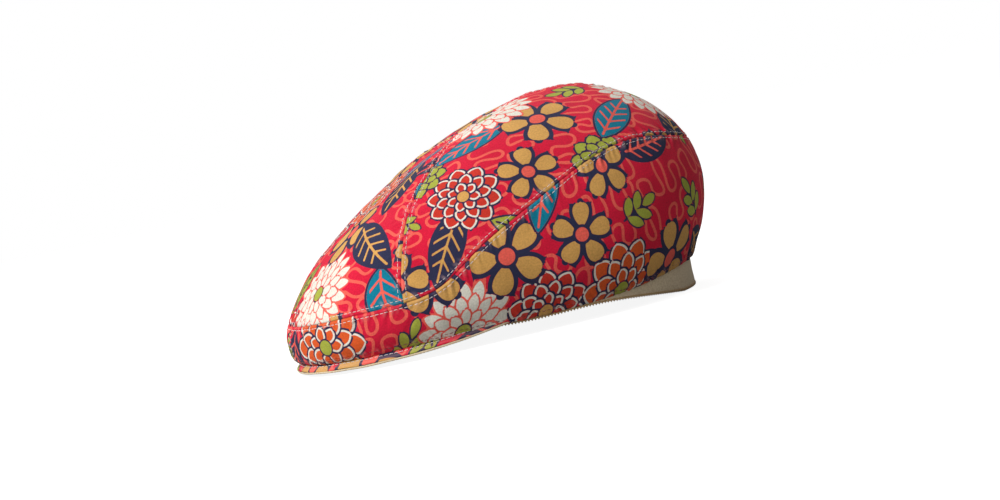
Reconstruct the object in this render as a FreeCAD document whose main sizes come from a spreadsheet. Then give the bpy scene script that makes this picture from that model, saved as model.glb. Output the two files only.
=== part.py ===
import FreeCAD, Part
import math
import os

from FreeCAD import Vector

# A cotton flat cap: a sewn crown over a stiff peak, with a lining and a sweatband.
#
# Millimetres. +Z is up, the cap's front is -Y and the wearer's left is +X. The origin is on the
# surface that the cap rests on, under the middle of its bounding box. The cap rests on the edge
# of its peak and on the back of its sweatband.
#
# The crown is a dome. Each of its levels is a closed curve round the head. It is cut into panels
# along its seams. The front seam is drawn in plan and carried up through the cap. The others are
# drawn in the side view and carried straight through the cap along X.
# The peak is a sheet on a crescent, between the head opening and the peak's outline.

DIMENSIONS = [
    # alias, value, what it is
    ("crownWidth", 206.0, "widest part of the crown, across the ears"),
    ("crownFront", 138.5, "front of the crown, ahead of the origin"),
    ("crownBack", 138.5, "back of the crown, behind the origin"),
    ("crownHeight", 140.0, "top of the crown above the table"),
    ("widestBehind", 17.0, "how far behind the origin the crown is widest"),
    ("apexBehind", 62.0, "how far behind the origin the crown is highest"),
    ("bulgeFront", 21.0, "height of the crown's fullest line at the front"),
    ("bulgeSide", 45.0, "the same at the sides"),
    ("bulgeBack", 74.0, "the same at the back"),
    ("archFront", 1.5, "superellipse exponent of the crown's front profile"),
    ("archSide", 1.83, "the same at the sides"),
    ("archBack", 1.85, "the same at the back"),
    ("tuckFront", 5.0, "exponent of the crown's inward curve below its fullest line, at the front"),
    ("tuckRound", 2.2, "the same elsewhere, and for the lining"),
    ("fullestFrontPower", 2.25, "superellipse exponent of the crown in plan, ahead of its middle"),
    ("edgeFrontPower", 2.5, "the same for the crown's lower edge"),
    ("ovalPower", 2.1, "the same for the back of the crown and for the head opening"),
    ("hemHalfWidth", 88.0, "half the width of the crown's lower edge"),
    ("hemFront", 134.0, "front of the crown's lower edge, ahead of the origin"),
    ("hemBack", 122.5, "back of the crown's lower edge, behind the origin"),
    ("cloth", 0.9, "shell cloth with its seam allowance and interfacing"),
    ("liningGap", 2.2, "lining's clearance inside the shell's outer face"),
    ("liningCloth", 0.5, "lining cloth"),
    ("liningFront", 121.0, "front of the lining, ahead of the origin"),
    ("liningTuck", 38.0, "height above which the lining's front follows the crown"),
    ("liningEdgeFront", 28.0, "height at which the lining has drawn in to the sweatband, in front"),
    ("liningEdgeSide", 20.0, "the same at the sides"),
    ("liningEdgeBack", 22.0, "the same at the back"),
    ("headHalfWidth", 86.5, "half the width of the sweatband's outer face"),
    ("headHalfLength", 103.8, "half the length of the sweatband's outer face"),
    ("headBehind", 15.9, "middle of the head opening, behind the origin"),
    ("bandPly", 0.6, "one ply of the folded sweatband, and its interlining"),
    ("bandHeight", 32.0, "height of the sweatband"),
    ("bandFold", 2.5, "height of the sweatband's fold below its interlining"),
    ("edgingHeight", 1.6, "height of the overlocked edging of the sweatband"),
    ("edgingThickness", 0.4, "thickness of the overlocked edging"),
    ("elasticLength", 110.0, "length of the elastic at the back of the sweatband"),
    ("elasticLow", 7.0, "lower edge of the elastic above the table"),
    ("elasticHeight", 20.0, "width of the elastic tape"),
    ("elasticGap", 1.0, "gap between each end of the elastic and the interlining"),
    ("backStart", 60.0, "how far behind the origin the back of the sweatband begins"),
    ("labelLength", 24.0, "length of the size label"),
    ("labelLow", 9.0, "lower edge of the size label above the table"),
    ("labelHeight", 14.0, "height of the size label"),
    ("labelThickness", 0.4, "thickness of the labels"),
    ("liningLabelLength", 46.0, "length of the label in the crown, along the cap"),
    ("liningLabelWidth", 30.0, "width of the label in the crown"),
    ("liningLabelAhead", 40.0, "how far the front of that label is ahead of the crown's apex"),
    ("peakFront", 136.5, "front of the peak, ahead of the origin"),
    ("peakHalfWidth", 88.0, "half the width of the peak's outline"),
    ("peakEndAhead", 15.0, "how far ahead of the origin the peak's ends are"),
    ("peakRim", 3.8, "height of the peak's rounded rim"),
    ("rimShare", 0.05, "share of the peak that its rounded rim takes"),
    ("peakPower", 2.3, "superellipse exponent of the peak's outline"),
    ("peakSlope", 20.0, "rise of the peak behind its rim"),
    ("peakEndRise", 9.0, "height of the peak's ends above the table"),
    ("peakCloth", 0.6, "peak covers"),
    ("peakBoard", 2.0, "peak stiffener"),
    ("peakWrap", 0.6, "how far the covers stand out past the board's edge"),
    ("peakClearance", 0.1, "clearance between the peak and the sweatband"),
    ("threadWidth", 0.5, "sewing thread as laid"),
    ("threadProud", 0.35, "how far the thread stands out of the cloth"),
    ("twinRow", 2.4, "distance of each topstitch row from its seam"),
    ("hemRow", 3.0, "distance of the hem's topstitch row from the hem"),
    ("peakRow", 3.0, "distance of the peak's topstitch row from its edge"),
    ("peakRowEnd", 75.0, "half the angle that the peak's topstitch row covers, in degrees"),
    ("tackRow", 9.0, "distance of the tacks from the peak's edge"),
    ("tackPitch", 18.0, "angle between neighbouring tacks, in degrees"),
    ("tackHalf", 2.5, "half the angle that a tack covers, in degrees"),
    ("frontRowFrom", 80.0, "how far ahead of the origin the front seam meets the crown seam"),
    ("below", 6.0, "how far the crown's blank reaches below the table before it is trimmed"),
    ("deeper", 2.0, "how much lower each inner blank reaches than the one round it"),
    ("reach", 400.0, "length of the cutters, larger than the cap"),
]

# Seams and edges in the side view: (distance behind the origin, height) on a smooth curve.
HEM = [(-160, 7.6), (-104, 8.4), (-60, 10), (20, 10.2), (62, 12.4), (120, 19.5), (160, 22)]
CROWN_SEAM = [(-160, 29), (-118, 33), (-88, 35), (-60, 40), (-36, 55), (4, 75), (42, 91),
              (82, 99), (118, 94), (160, 84)]
LINING_EDGE = [(-160, 25), (-93, 23), (-50, 19), (-15, 16), (35, 16), (72, 18), (160, 26)]
BAND_EDGE = [(-160, 25), (-88, 17), (-15, 7.8), (35, 7.6), (72, 3.8), (98, 0)]

# The front seam in plan: (distance from the centre plane, distance behind the origin).
FRONT_SEAM = [(0, -9), (12, -13.5), (24, -21.5), (41, -35), (53, -47), (61, -57), (72, -68.5),
              (81, -76.5), (86, -82), (96, -95), (110, -116)]

ANGLES = 44          # points round one level of the crown
LEVELS = 17          # levels of the crown
TOP_FLAT = 0.12      # the dome is closed this far below its apex
PEAK_STEPS = 40      # points along the peak
PEAK_ROWS = 12       # points across the peak
THREAD_STEPS = 56    # points along a thread
CENTRE_STEPS = 16    # points along a thread beside the centre plane
HALVINGS = 40        # steps of a search by halving
CLOSING = 40         # how late the dome's levels turn round as they near its apex
TACKS = 7            # tacks that hold the crown's front on the peak

doc = FreeCAD.newDocument("FlatCap")
sheet = doc.addObject("Spreadsheet::Sheet", "Dimensions")
for row, (alias, value, note) in enumerate(DIMENSIONS, start=1):
    sheet.set(f"A{row}", note)
    sheet.set(f"B{row}", str(value))
    sheet.setAlias(f"B{row}", alias)
doc.recompute()


def size(alias):
    """A driving dimension, in millimetres."""
    return float(getattr(sheet, alias))


# ---------------------------------------------------------------- side-view curves


def side_curve(points):
    """A smooth curve in the side view, x = 0."""
    curve = Part.BSplineCurve()
    curve.interpolate([Vector(0, y, z) for y, z in points])
    return curve


def band_edge_curve():
    """The sweatband's lower edge, which runs level where it lies on the table."""
    y, z = BAND_EDGE[-1]
    slope = side_curve(BAND_EDGE).toShape()
    flat = Part.makeLine(Vector(0, y, z), Vector(0, size("reach"), z))
    return Part.Wire([slope, flat])


def height_on(curve, y):
    """The height of a side-view curve at a place along the cap."""
    low, high = curve.FirstParameter, curve.LastParameter
    for _ in range(HALVINGS):
        middle = (low + high) / 2
        if curve.value(middle).y < y:
            low = middle
        else:
            high = middle
    return curve.value(low).z


def face_above(curve):
    """The face between a side-view curve and a level well above the cap."""
    start, end = curve.value(curve.FirstParameter), curve.value(curve.LastParameter)
    high = size("reach")
    corners = [end, Vector(0, end.y, high), Vector(0, start.y, high), start]
    lines = [Part.makeLine(a, b) for a, b in zip(corners, corners[1:])]
    return Part.Face(Part.Wire([curve.toShape()] + lines))


def ahead_face(curve):
    """The face between a plan curve and a line well ahead of the cap."""
    start, end = curve.value(curve.FirstParameter), curve.value(curve.LastParameter)
    far = -size("reach")
    corners = [end, Vector(end.x, far, 0), Vector(start.x, far, 0), start]
    lines = [Part.makeLine(a, b) for a, b in zip(corners, corners[1:])]
    return Part.Face(Part.Wire([curve.toShape()] + lines))


# ---------------------------------------------------------------- plan curves


def plan_curve(points):
    """A smooth curve in plan, symmetric about x = 0, from the wearer's right to the left."""
    mirrored = [(-x, y) for x, y in points[:0:-1]]
    curve = Part.BSplineCurve()
    curve.interpolate([Vector(x, y, 0) for x, y in mirrored + points])
    return curve


def egg(angle, middle, half_width, front, back, front_power, back_power):
    """A point of an egg-shaped plan curve. angle is 0 at the front and grows towards +X."""
    c, s = math.cos(angle), math.sin(angle)
    power = front_power if c > 0 else back_power
    length = front + middle if c > 0 else back - middle
    x = half_width * math.copysign(abs(s) ** (2 / power), s)
    y = middle - length * math.copysign(abs(c) ** (2 / power), c)
    return x, y


def head_egg(angle, outset):
    """The sweatband's outer face in plan, moved outwards."""
    half, middle = size("headHalfLength") + outset, size("headBehind")
    return egg(angle, middle, size("headHalfWidth") + outset, half - middle, half + middle,
               size("ovalPower"), size("ovalPower"))


def around(angle, front, side, back):
    """A value that goes smoothly from the front, by the side, to the back."""
    c = math.cos(angle)
    return side + ((front if c > 0 else back) - side) * c * c


# ---------------------------------------------------------------- crown and lining surfaces

hem_curve = side_curve(HEM)
crown_seam_curve = side_curve(CROWN_SEAM)
front_seam_curve = plan_curve(FRONT_SEAM)


def dome_point(angle, z, fullest, edge, top, bulge, edge_height, bend):
    """One point of a dome that is fullest at the height bulge and draws in below it."""
    if z >= bulge:
        rise = min((z - bulge) / (top - bulge), 1.0)
        power = around(angle, size("archFront"), size("archSide"), size("archBack"))
        power += (2 - power) * rise ** CLOSING
        share = (1 - rise ** power) ** (1 / power)
        apex = size("apexBehind")
        return Vector(fullest[0] * share, apex + (fullest[1] - apex) * share, z)
    drop = min((bulge - z) / (bulge - edge_height), 1.0)
    tuck = drop ** bend
    return Vector(fullest[0] + (edge[0] - fullest[0]) * tuck,
                  fullest[1] + (edge[1] - fullest[1]) * tuck, z)


def crown_point(angle, z, inset):
    """The crown's surface at one angle and height, inset from the shell's outer face."""
    fullest = egg(angle, size("widestBehind"), size("crownWidth") / 2 - inset,
                  size("crownFront") - inset, size("crownBack") - inset,
                  size("fullestFrontPower"), size("ovalPower"))
    edge = egg(angle, size("headBehind"), size("hemHalfWidth") - inset,
               size("hemFront") - inset, size("hemBack") - inset,
               size("edgeFrontPower"), size("ovalPower"))
    bulge = around(angle, size("bulgeFront"), size("bulgeSide"), size("bulgeBack"))
    hem_height = height_on(hem_curve, edge[1])
    return dome_point(angle, z, fullest, edge, size("crownHeight") - inset, bulge, hem_height,
                      around(angle, size("tuckFront"), size("tuckRound"), size("tuckRound")))


def lining_point(angle, z, inset):
    """The lining's surface: it follows the shell, and draws in to the sweatband."""
    gap = size("liningGap") + inset
    fullest = egg(angle, size("widestBehind"), size("crownWidth") / 2 - gap,
                  size("liningFront") - inset, size("crownBack") - gap,
                  size("fullestFrontPower"), size("ovalPower"))
    edge = head_egg(angle, size("liningCloth") - inset)
    bulge = around(angle, size("liningTuck"), size("bulgeSide"), size("bulgeBack"))
    edge_height = around(angle, size("liningEdgeFront"), size("liningEdgeSide"),
                         size("liningEdgeBack"))
    return dome_point(angle, z, fullest, edge, size("crownHeight") - gap, bulge, edge_height,
                      size("tuckRound"))


def dome_solid(point, inset, top, floor):
    """A solid dome lofted through its levels, which are closed smooth curves."""
    highest = top - inset - TOP_FLAT
    levels = []
    for level in range(LEVELS):
        share = math.sin(math.pi / 2 * level / (LEVELS - 1))
        z = floor + (highest - floor) * share
        curve = Part.BSplineCurve()
        curve.interpolate([point(2 * math.pi * k / ANGLES, z, inset) for k in range(ANGLES)],
                          PeriodicFlag=True)
        levels.append(Part.Wire([curve.toShape()]))
    return Part.makeLoft(levels, True, False)


# ---------------------------------------------------------------- peak surface


def peak_outline(angle):
    """The peak's outer edge in plan, from its right end, by the front, to its left end."""
    c, s = math.cos(angle), math.sin(angle)
    length = size("peakFront") - size("peakEndAhead")
    power = 2 / size("peakPower")
    x = size("peakHalfWidth") * math.copysign(abs(s) ** power, s)
    return x, -size("peakEndAhead") - length * abs(c) ** power


def peak_inner_edge(angle):
    """The place on the head opening that faces a place on the peak's outline."""
    reach = (size("headBehind") + size("peakEndAhead")) / size("headHalfLength")
    widest = math.acos(reach ** (size("ovalPower") / 2))
    outset = size("liningCloth") + size("peakClearance")
    return head_egg(angle * widest / (math.pi / 2), outset)


def peak_height(x, y):
    """Height of the peak's underside: a rounded rim on the table, then a gentle slope."""
    length = size("peakFront") - size("peakEndAhead")
    ahead = max(-size("peakEndAhead") - y, 0.0)
    power = size("peakPower")
    inside = 1 - (abs(x) / size("peakHalfWidth")) ** power - (ahead / length) ** power
    inside = max(inside, 0.0)
    end_rise = size("peakEndRise") * (1 - ahead / length) ** 2
    rim = size("peakRim") * (1 - math.exp(-inside / size("rimShare")))
    return rim + size("peakSlope") * inside + end_rise


def peak_point(angle, across, raised):
    """A point on the peak. across is 0 at the head opening and 1 at the outline."""
    inner, outer = peak_inner_edge(angle), peak_outline(angle)
    x = inner[0] + (outer[0] - inner[0]) * across
    y = inner[1] + (outer[1] - inner[1]) * across
    return Vector(x, y, peak_height(x, y) + raised)


def closed_sheet(lower, upper):
    """A solid between two sheets, each given as rows of points, with their edges closed."""
    faces = []
    borders = []
    for rows in (lower, upper):
        surface = Part.BSplineSurface()
        surface.interpolate(rows)
        faces.append(surface.toShape())
        u0, u1, v0, v1 = surface.bounds()
        borders.append([surface.uIso(u0), surface.vIso(v1), surface.uIso(u1), surface.vIso(v0)])
    for below, above in zip(*borders):
        faces.append(Part.makeRuledSurface(below.toShape(), above.toShape()))
    shell = Part.Shell(faces)
    shell.sewShape()
    solid = Part.Solid(shell)
    if solid.Volume < 0:
        solid.reverse()
    return solid


def peak_sheet(low, high, from_edge=0.0, to_edge=None, start=-90.0, end=90.0):
    """A solid layer of the peak between two heights and two distances from the outline."""
    sheets = []
    for raised in (low, high):
        rows = []
        for step in range(PEAK_STEPS + 1):
            angle = math.radians(start + (end - start) * step / PEAK_STEPS)
            width = math.dist(peak_inner_edge(angle), peak_outline(angle))
            outer = 1 - from_edge / width
            inner = 0.0 if to_edge is None else max(1 - to_edge / width, 0.0)
            shares = [inner + (outer - inner) * math.sin(math.pi / 2 * k / PEAK_ROWS)
                      for k in range(PEAK_ROWS + 1)]
            rows.append([peak_point(angle, share, raised) for share in shares])
        sheets.append(rows)
    return closed_sheet(*sheets)


# ---------------------------------------------------------------- paths on the crown


def bisect(wrong, low, high):
    """The place between low and high where wrong changes from true to false."""
    for _ in range(HALVINGS):
        middle = (low + high) / 2
        if wrong(middle):
            low = middle
        else:
            high = middle
    return low


def angle_at(y, z, first=0.0, last=math.pi):
    """The angle at which the crown, at a height, is this far behind the origin."""
    return bisect(lambda angle: crown_point(angle, z, 0).y < y, first, last)


def path_round(curve):
    """Where a side-view curve meets the crown, from the front centre to the back centre."""
    path = []
    for step in range(THREAD_STEPS + 1):
        angle = math.pi * step / THREAD_STEPS

        def behind(parameter):
            point = curve.value(parameter)
            return crown_point(angle, point.z, 0).y > point.y

        point = curve.value(bisect(behind, curve.FirstParameter, curve.LastParameter))
        path.append((angle, point.z))
    return path


def height_over(x, y):
    """The crown's height over a place in plan, above its fullest line."""
    def inside(z):
        return crown_point(angle_at(y, z), z, 0).x > x

    return bisect(inside, size("bulgeSide") / 2, size("crownHeight") - TOP_FLAT)


def path_over(curve, low):
    """Where a plan curve meets the crown's left side, from a height up to the centre plane."""
    middle = (curve.FirstParameter + curve.LastParameter) / 2

    def above(parameter):
        point = curve.value(parameter)
        return height_over(point.x, point.y) > low

    start = bisect(above, middle, curve.LastParameter)
    path = []
    for step in range(THREAD_STEPS + 1):
        point = curve.value(start + (middle - start) * step / THREAD_STEPS)
        z = height_over(max(point.x, 0.0), point.y)
        path.append((angle_at(point.y, z), z))
    return path


def path_beside_centre(x, low, high, at_back):
    """A path up the crown's front or back at a distance from its centre plane."""
    path = []
    for step in range(CENTRE_STEPS + 1):
        z = low + (high - low) * math.sin(math.pi / 2 * step / CENTRE_STEPS)
        angle = bisect(lambda a: crown_point(a, z, 0).x < x, 0.0, math.pi / 2)
        if at_back:
            angle = bisect(lambda a: crown_point(a, z, 0).x > x, math.pi / 2, math.pi)
        path.append((angle, z))
    return path


def crown_normal(angle, z):
    """The crown's outward direction at an angle and height."""
    step = 1e-3
    round_it = crown_point(angle + step, z, 0) - crown_point(angle - step, z, 0)
    up_it = crown_point(angle, z + step, 0) - crown_point(angle, z - step, 0)
    return round_it.cross(up_it).normalize()


def thread(path, side=1, beside=0.0):
    """A sewing thread laid beside a path on the crown. side is -1 on the wearer's right."""
    points = [crown_point(angle, z, 0) for angle, z in path]
    sheets = ([], [])
    for k, (point, place) in enumerate(zip(points, path)):
        normal = crown_normal(*place)
        along = points[min(k + 1, len(points) - 1)] - points[max(k - 1, 0)]
        across = normal.cross(along).normalize()
        middle = point + across * beside
        if middle.x < 0 and point.x > 0:
            continue
        across = across * (size("threadWidth") / 2)
        for sheet_rows, height in zip(sheets, (0.0, size("threadProud"))):
            ends = [middle + normal * height - across, middle + normal * height + across]
            sheet_rows.append([Vector(side * end.x, end.y, end.z) for end in ends])
    return closed_sheet(*sheets)


# ---------------------------------------------------------------- document objects


def feature(name, shape):
    """A document object that holds a shape made here."""
    made = doc.addObject("Part::Feature", name)
    made.Shape = shape
    return made


def through(name, face):
    """A side-view face carried straight through the cap along X."""
    made = doc.addObject("Part::Extrusion", name)
    made.Base = feature(name + "Face", face)
    made.DirMode = "Custom"
    made.Dir = Vector(1, 0, 0)
    made.Solid = True
    made.Symmetric = True
    made.setExpression("LengthFwd", "Dimensions.reach")
    return made


def upward(name, face):
    """A face in plan carried up through the cap."""
    made = doc.addObject("Part::Extrusion", name)
    made.Base = feature(name + "Plan", face)
    made.DirMode = "Custom"
    made.Dir = Vector(0, 0, 1)
    made.Solid = True
    made.setExpression("LengthFwd", "Dimensions.reach / 2")
    return made


def common(name, *shapes):
    made = doc.addObject("Part::MultiCommon", name)
    made.Shapes = list(shapes)
    return made


def cut(name, base, *tools):
    """base less one tool, or less several tools together."""
    made = doc.addObject("Part::Cut", name)
    made.Base = base
    if len(tools) == 1:
        made.Tool = tools[0]
        return made
    joined = doc.addObject("Part::Compound", name + "Tools")
    joined.Links = list(tools)
    made.Tool = joined
    return made


def box(name, length, width, height, x, y, z):
    """A box from expressions: its sizes, and the place of its lowest corner."""
    made = doc.addObject("Part::Box", name)
    for side, expression in (("Length", length), ("Width", width), ("Height", height)):
        made.setExpression(side, expression)
    for axis, expression in (("x", x), ("y", y), ("z", z)):
        made.setExpression(f"Placement.Base.{axis}", expression)
    return made


D = "Dimensions."
subparts = []


def subpart(label, made):
    """Names a document object as one physical piece of the cap."""
    made.Label = label
    subparts.append(made)
    return made


# Regions of the side view.
above_seam = through("AboveSeam", face_above(crown_seam_curve))
above_hem = through("AboveHem", face_above(hem_curve))
ahead = upward("Ahead", ahead_face(front_seam_curve))
above_lining_edge = through("AboveLiningEdge", face_above(side_curve(LINING_EDGE)))
left = box("LeftHalf", D + "reach", D + "reach", D + "reach",
           "0 mm", f"-{D}reach / 2", f"-{D}reach / 2")
right = box("RightHalf", D + "reach", D + "reach", D + "reach",
            f"-{D}reach", f"-{D}reach / 2", f"-{D}reach / 2")


def panels(prefix, skin, lower_edge):
    """Cuts one skin into its front panel, two top panels and two side panels."""
    upper = common(prefix + "Upper", skin, above_seam)
    lower = cut(prefix + "Lower", common(prefix + "Trimmed", skin, lower_edge), above_seam)
    top = cut(prefix + "Top", upper, ahead)
    return {
        "front": common(prefix + "Front", upper, ahead),
        "top_left": common(prefix + "TopLeft", top, left),
        "top_right": common(prefix + "TopRight", top, right),
        "side_left": common(prefix + "SideLeft", lower, left),
        "side_right": common(prefix + "SideRight", lower, right),
    }


def make_shell():
    top, floor = size("crownHeight"), -size("below")
    outer = feature("CrownOuter", dome_solid(crown_point, 0, top, floor))
    inner = feature("CrownInner",
                    dome_solid(crown_point, size("cloth"), top, floor - size("deeper")))
    peak = feature("PeakEnvelope", peak_sheet(0, 2 * size("peakCloth") + size("peakBoard")))
    skin = cut("ShellSkin", outer, inner)
    made = panels("Shell", skin, cut("AbovePeak", above_hem, peak))
    subpart("front_panel", made["front"])
    subpart("top_panel_left", made["top_left"])
    subpart("top_panel_right", made["top_right"])
    subpart("side_panel_left", made["side_left"])
    subpart("side_panel_right", made["side_right"])


def make_lining():
    top = size("crownHeight") - size("liningGap")
    thickness = size("liningCloth")
    floor, deeper = -size("below"), size("deeper")
    outer = feature("LiningOuter", dome_solid(lining_point, 0, top, floor))
    inner = feature("LiningInner", dome_solid(lining_point, thickness, top, floor - deeper))
    made = panels("Lining", cut("LiningSkin", outer, inner), above_lining_edge)
    subpart("front_lining", made["front"])
    subpart("top_lining_left", made["top_left"])
    subpart("top_lining_right", made["top_right"])
    subpart("side_lining_left", made["side_left"])
    subpart("side_lining_right", made["side_right"])
    under_label = feature("LabelInner", dome_solid(
        lining_point, thickness + size("labelThickness"), top, floor - 2 * deeper))
    under = cut("LabelSkin", inner, under_label)
    patch = box("LiningLabelPlace", D + "liningLabelWidth", D + "liningLabelLength",
                D + "reach", f"-{D}liningLabelWidth / 2",
                f"{D}apexBehind - {D}liningLabelAhead", f"{D}crownHeight / 2")
    subpart("lining_label", common("LiningLabel", under, patch))


def thread_pair(label, paths, distances, sides=(1, -1)):
    """Topstitching beside seams: one thread for each path, distance and side of the cap."""
    rows = [thread(path, side, distance)
            for side in sides for path in paths for distance in distances]
    subpart(label, feature(label + "_threads", Part.makeCompound(rows)))


def make_stitching():
    """Topstitching: raised threads that follow the seams in pairs, and the hem in one row."""
    row, clear = size("twinRow"), size("twinRow") + size("threadWidth")
    hem_clear = size("hemRow") + size("threadWidth")
    seam_path = path_round(crown_seam_curve)
    thread_pair("crown_seam_stitching_left", [seam_path], (-row, row), (1,))
    thread_pair("crown_seam_stitching_right", [seam_path], (-row, row), (-1,))
    start = height_on(crown_seam_curve, -size("frontRowFrom")) + clear
    front_path = path_over(front_seam_curve, start)
    thread_pair("front_seam_stitching", [front_path], (-row, row))
    thread_pair("hem_stitching", [path_round(hem_curve)], (size("hemRow"),))

    flat = size("crownHeight") - 3 * TOP_FLAT
    back_seam, front_seam = seam_path[-1][1], seam_path[0][1]
    back_hem = height_on(hem_curve, size("hemBack")) + hem_clear
    front_hem = height_on(hem_curve, -size("hemFront")) + hem_clear
    over_top = (path_beside_centre(row, front_path[-1][1] + clear, flat, False)
                + path_beside_centre(row, back_seam + clear, flat, True)[::-1])
    thread_pair("top_centre_stitching", [over_top], (0,))
    thread_pair("back_centre_stitching",
                [path_beside_centre(row, back_hem, back_seam - clear, True)], (0,))
    thread_pair("front_centre_stitching",
                [path_beside_centre(row, front_hem, front_seam - clear, False)], (0,))


def head_prism(name, outset):
    """The head opening's plan carried up, moved outwards."""
    curve = Part.BSplineCurve()
    points = [Vector(*head_egg(2 * math.pi * k / ANGLES, outset), -size("below"))
              for k in range(ANGLES)]
    curve.interpolate(points, PeriodicFlag=True)
    return upward(name, Part.Face(Part.Wire([curve.toShape()])))


def band_slab(name, low, high):
    """The stretch of the side view between two distances above the sweatband's edge."""
    edge = band_edge_curve()
    lower, upper = edge.copy(), edge.copy()
    lower.translate(Vector(0, 0, low))
    upper.translate(Vector(0, 0, high))
    first, last = lower.OrderedVertexes[0].Point, lower.OrderedVertexes[-1].Point
    ends = [Part.makeLine(point, point + Vector(0, 0, high - low)) for point in (first, last)]
    border = Part.__sortEdges__(lower.Edges + upper.Edges + ends)
    return through(name, Part.Face(Part.Wire(border)))


def make_sweatband():
    ply, height = size("bandPly"), size("bandHeight")
    outside = head_prism("BandOutside", 0)
    lines = [outside] + [head_prism(f"BandLine{k}", -k * ply) for k in (1, 2, 3)]
    band = common("BandBlank", cut("BandRing", lines[0], lines[3]), band_slab("BandSlab", 0, height))
    pocket = common("BandPocket", cut("PocketRing", lines[1], lines[2]),
                    band_slab("PocketSlab", size("bandFold"), height))
    subpart("sweatband", cut("Sweatband", band, pocket))
    elastic_place = box("ElasticPlace", D + "elasticLength", D + "reach", D + "elasticHeight",
                        f"-{D}elasticLength / 2", D + "backStart", D + "elasticLow")
    gap_place = box("InterliningGap", f"{D}elasticLength + 2 * {D}elasticGap", D + "reach",
                    D + "reach", f"-{D}elasticLength / 2 - {D}elasticGap", D + "backStart",
                    f"-{D}reach / 2")
    subpart("back_elastic", common("Elastic", pocket, elastic_place))
    subpart("sweatband_interlining", cut("Interlining", pocket, gap_place))
    edging = cut("EdgingRing", head_prism("EdgingOutside", size("edgingThickness")), outside)
    subpart("sweatband_edging",
            common("Edging", edging, band_slab("EdgingSlab", 0, size("edgingHeight"))))
    inside = head_prism("ThreadInside", -3 * ply - size("threadProud"))
    thread = common("BandThread", cut("BandThreadRing", lines[3], inside),
                    band_slab("BandThreadSlab", size("hemRow"),
                              size("hemRow") + size("threadWidth")))
    subpart("sweatband_stitching", thread)
    label_inside = head_prism("LabelInside", -3 * ply - size("labelThickness"))
    label_place = box("LabelPlace", D + "labelLength", D + "reach", D + "labelHeight",
                      f"-{D}labelLength / 2", D + "backStart", D + "labelLow")
    subpart("size_label", common("SizeLabel", cut("LabelRing", lines[3], label_inside),
                                 label_place))


def make_peak():
    cloth, board = size("peakCloth"), size("peakBoard")
    thickness = 2 * cloth + board
    wrap, proud, width = size("peakWrap"), size("threadProud"), size("threadWidth")
    subpart("peak_top_cover", feature("PeakTopCover", peak_sheet(cloth + board, thickness)))
    subpart("peak_board", feature("PeakBoard", peak_sheet(cloth, cloth + board, from_edge=wrap)))
    subpart("peak_under_cover", feature("PeakUnderCover", peak_sheet(0, cloth)))
    row, row_end = size("peakRow"), size("peakRowEnd")
    subpart("peak_edge_stitching", feature("PeakThread", peak_sheet(
        thickness, thickness + proud, row, row + width, start=-row_end, end=row_end)))
    tacks = []
    tack_row, tack_half = size("tackRow"), size("tackHalf")
    for number in range(TACKS):
        middle = (number - (TACKS - 1) / 2) * size("tackPitch")
        tacks.append(peak_sheet(thickness, thickness + proud, tack_row, tack_row + 2 * width,
                                start=middle - tack_half, end=middle + tack_half))
    subpart("crown_tack_stitches", feature("Tacks", Part.makeCompound(tacks)))


def write_parts():
    """Recomputes, checks every object, and writes each sub-part to its own file."""
    doc.recompute()
    for made in doc.Objects:
        if "Invalid" in made.State or "Error" in made.State:
            raise RuntimeError(f"{made.Label} failed: {made.State}")
    os.makedirs("parts", exist_ok=True)
    for made in subparts:
        shape = made.Shape
        if shape.isNull() or not shape.isValid() or not shape.Solids:
            raise RuntimeError(f"{made.Label} is not a valid solid")
        shape.exportStep(f"parts/{made.Label}.step")
        low, high = shape.BoundBox.ZMin, shape.BoundBox.ZMax
        print(f"{made.Label}: {len(shape.Solids)} solid(s), {shape.Volume:.0f} mm3, "
              f"z {low:.1f} to {high:.1f}")


make_shell()
make_lining()
make_stitching()
make_sweatband()
make_peak()
write_parts()
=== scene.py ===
import math

import bpy
import numpy as np
from mathutils import Matrix, Vector
from mathutils.bvhtree import BVHTree
from mathutils.kdtree import KDTree


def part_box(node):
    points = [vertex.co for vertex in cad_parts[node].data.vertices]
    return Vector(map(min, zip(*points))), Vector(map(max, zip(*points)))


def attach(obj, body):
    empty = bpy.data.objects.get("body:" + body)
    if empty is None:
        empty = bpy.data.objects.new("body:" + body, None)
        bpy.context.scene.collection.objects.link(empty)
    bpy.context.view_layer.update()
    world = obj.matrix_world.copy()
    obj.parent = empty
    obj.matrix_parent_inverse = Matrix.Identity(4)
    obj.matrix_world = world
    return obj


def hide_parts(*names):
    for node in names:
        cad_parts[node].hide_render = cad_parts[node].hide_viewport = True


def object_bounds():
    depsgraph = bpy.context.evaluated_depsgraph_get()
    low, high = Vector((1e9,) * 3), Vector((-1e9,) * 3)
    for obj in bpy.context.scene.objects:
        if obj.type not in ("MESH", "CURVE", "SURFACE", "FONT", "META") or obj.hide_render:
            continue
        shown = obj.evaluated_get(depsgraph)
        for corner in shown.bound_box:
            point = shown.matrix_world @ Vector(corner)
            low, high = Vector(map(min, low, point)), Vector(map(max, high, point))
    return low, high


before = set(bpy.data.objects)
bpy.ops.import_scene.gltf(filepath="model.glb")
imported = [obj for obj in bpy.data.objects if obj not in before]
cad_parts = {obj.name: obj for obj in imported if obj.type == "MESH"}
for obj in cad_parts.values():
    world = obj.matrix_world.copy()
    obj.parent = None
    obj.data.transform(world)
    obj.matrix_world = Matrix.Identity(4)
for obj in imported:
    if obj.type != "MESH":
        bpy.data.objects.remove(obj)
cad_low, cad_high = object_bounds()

# A cotton flat cap with a floral print, a stiff peak, a lining and a sweatband.
# Lengths here are in millimetres, in the frame of the CAD model, and MM turns them into metres.
# The shell's panels are grids of points on the crown's surface, which seams, stitches, puckers
# and folds push in and out. Each panel's print is worked out on its own flat coordinates.

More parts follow.
